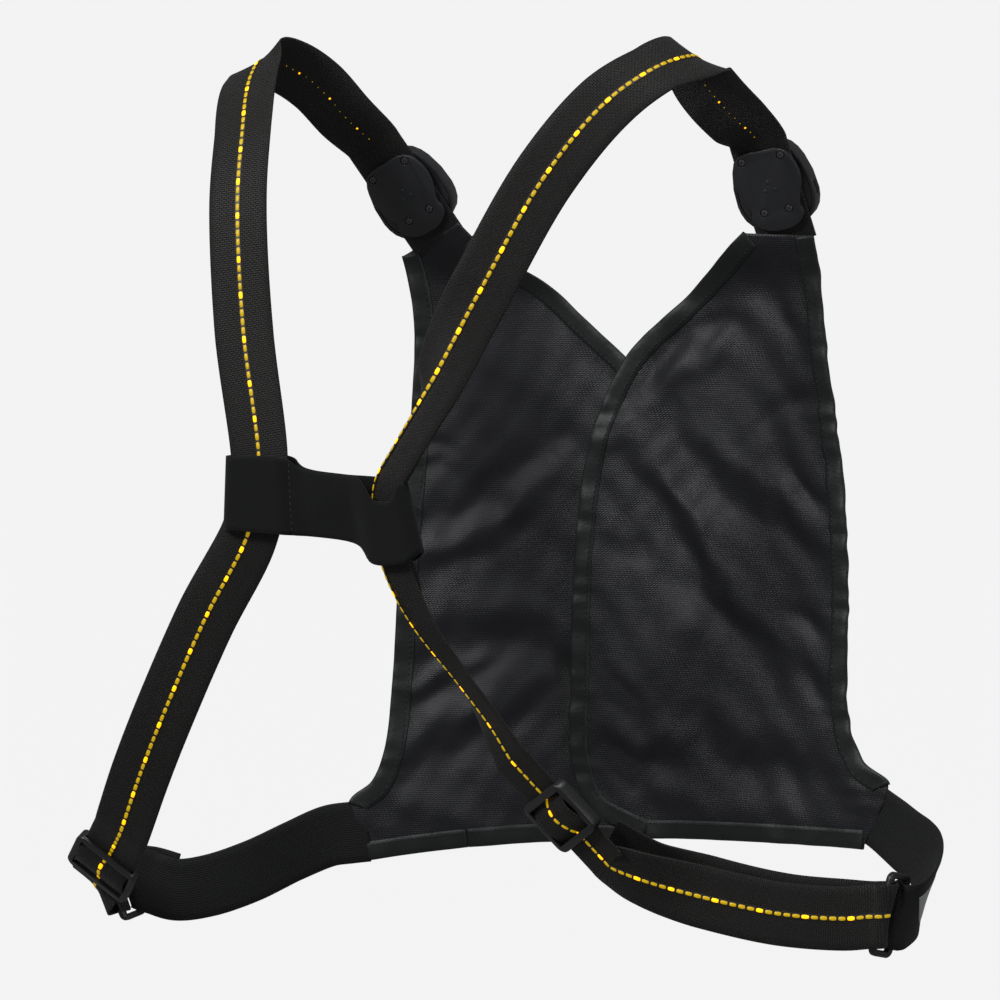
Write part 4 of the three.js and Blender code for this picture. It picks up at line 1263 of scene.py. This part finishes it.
def add_camera():
    """A long lens behind the wearer's right shoulder."""
    azimuth, elevation = math.radians(CAMERA_AZIMUTH), math.radians(CAMERA_ELEVATION)
    right = vec(math.cos(azimuth), math.sin(azimuth), 0)
    back = vec(math.sin(azimuth) * math.cos(elevation), -math.cos(azimuth) * math.cos(elevation),
               math.sin(elevation))
    up = np.cross(back, right)
    target = right * -0.0345 + up * -0.27
    data = bpy.data.cameras.new("camera")
    data.lens = CAMERA_LENS
    data.sensor_width = 36
    camera = bpy.data.objects.new("camera", data)
    bpy.context.scene.collection.objects.link(camera)
    camera.matrix_world = (Matrix.Translation((target + back * CAMERA_DISTANCE).tolist())
                           @ Matrix(np.stack([right, up, back], axis=1).tolist()).to_4x4())
    bpy.context.scene.camera = camera


def add_backdrop():
    """A wide pale floor that sweeps up into a wall and a ceiling all round the object."""
    profile = [(0.01, -1.3), (8, -1.3), (10.4, -0.9), (11.4, 0.4), (11.4, 6), (8, 9), (0.01, 9)]
    profile = spline([vec(*p) for p in profile], [6] * (len(profile) - 1))
    sides = 48
    angles = [2 * math.pi * k / sides for k in range(sides)]
    rings = [[(reach / MM * math.cos(a), reach / MM * math.sin(a), z / MM) for a in angles]
             for reach, z in profile]
    points, faces = loft(rings)
    look = Look("pale_sweep", "#404040", 0.9, 0.1)
    look.shader.inputs["Emission Color"].default_value = (0.88, 0.88, 0.88, 1)
    look.shader.inputs["Emission Strength"].default_value = 1.0
    sweep = new_piece("backdrop", points, faces, look.material, body=None)
    sweep.visible_diffuse = False
    sweep.visible_glossy = False
    sweep.visible_shadow = False


def add_light(name, place, size, power):
    """A soft rectangular light that faces the object."""
    data = bpy.data.lights.new(name, "AREA")
    data.shape = "RECTANGLE"
    data.size, data.size_y = size
    data.energy = power
    light = bpy.data.objects.new(name, data)
    bpy.context.scene.collection.objects.link(light)
    back = unit(vec(*place) - vec(*OBJECT_MIDDLE))
    side = unit(np.cross(vec(0, 0, 1), back))
    basis = np.stack([side, np.cross(back, side), back], axis=1)
    light.matrix_world = (Matrix.Translation(place) @ Matrix(basis.tolist()).to_4x4())


def add_lighting():
    world = bpy.data.worlds.new("studio")
    bpy.context.scene.world = world
    world.use_nodes = True
    background = world.node_tree.nodes["Background"]
    background.inputs["Color"].default_value = (1, 1, 1, 1)
    background.inputs["Strength"].default_value = 0.2
    add_light("key", (-1.2, -2.0, 1.3), (0.7, 0.7), 46)
    add_light("top", (0.5, -0.7, 2.3), (1.4, 0.7), 26)
    add_light("fill", (2.5, -1.2, 0.1), (0.5, 1.6), 12)


bpy.context.scene.view_settings.view_transform = "Standard"
add_camera()
add_backdrop()
add_lighting()
dress_cad_nodes()
add_strap("left", LEFT_STOPS, LEFT_STRING_LAST_STOP)
add_strap("right", RIGHT_STOPS, RIGHT_STRING_LAST_STOP)
add_hump("left")
add_hump("right")
add_side_band("left", LEFT_BAND_STOPS)
add_side_band("right", RIGHT_BAND_STOPS)
add_sleeve()
add_right_panel()
add_left_front()
add_bindings()
add_hard_parts()
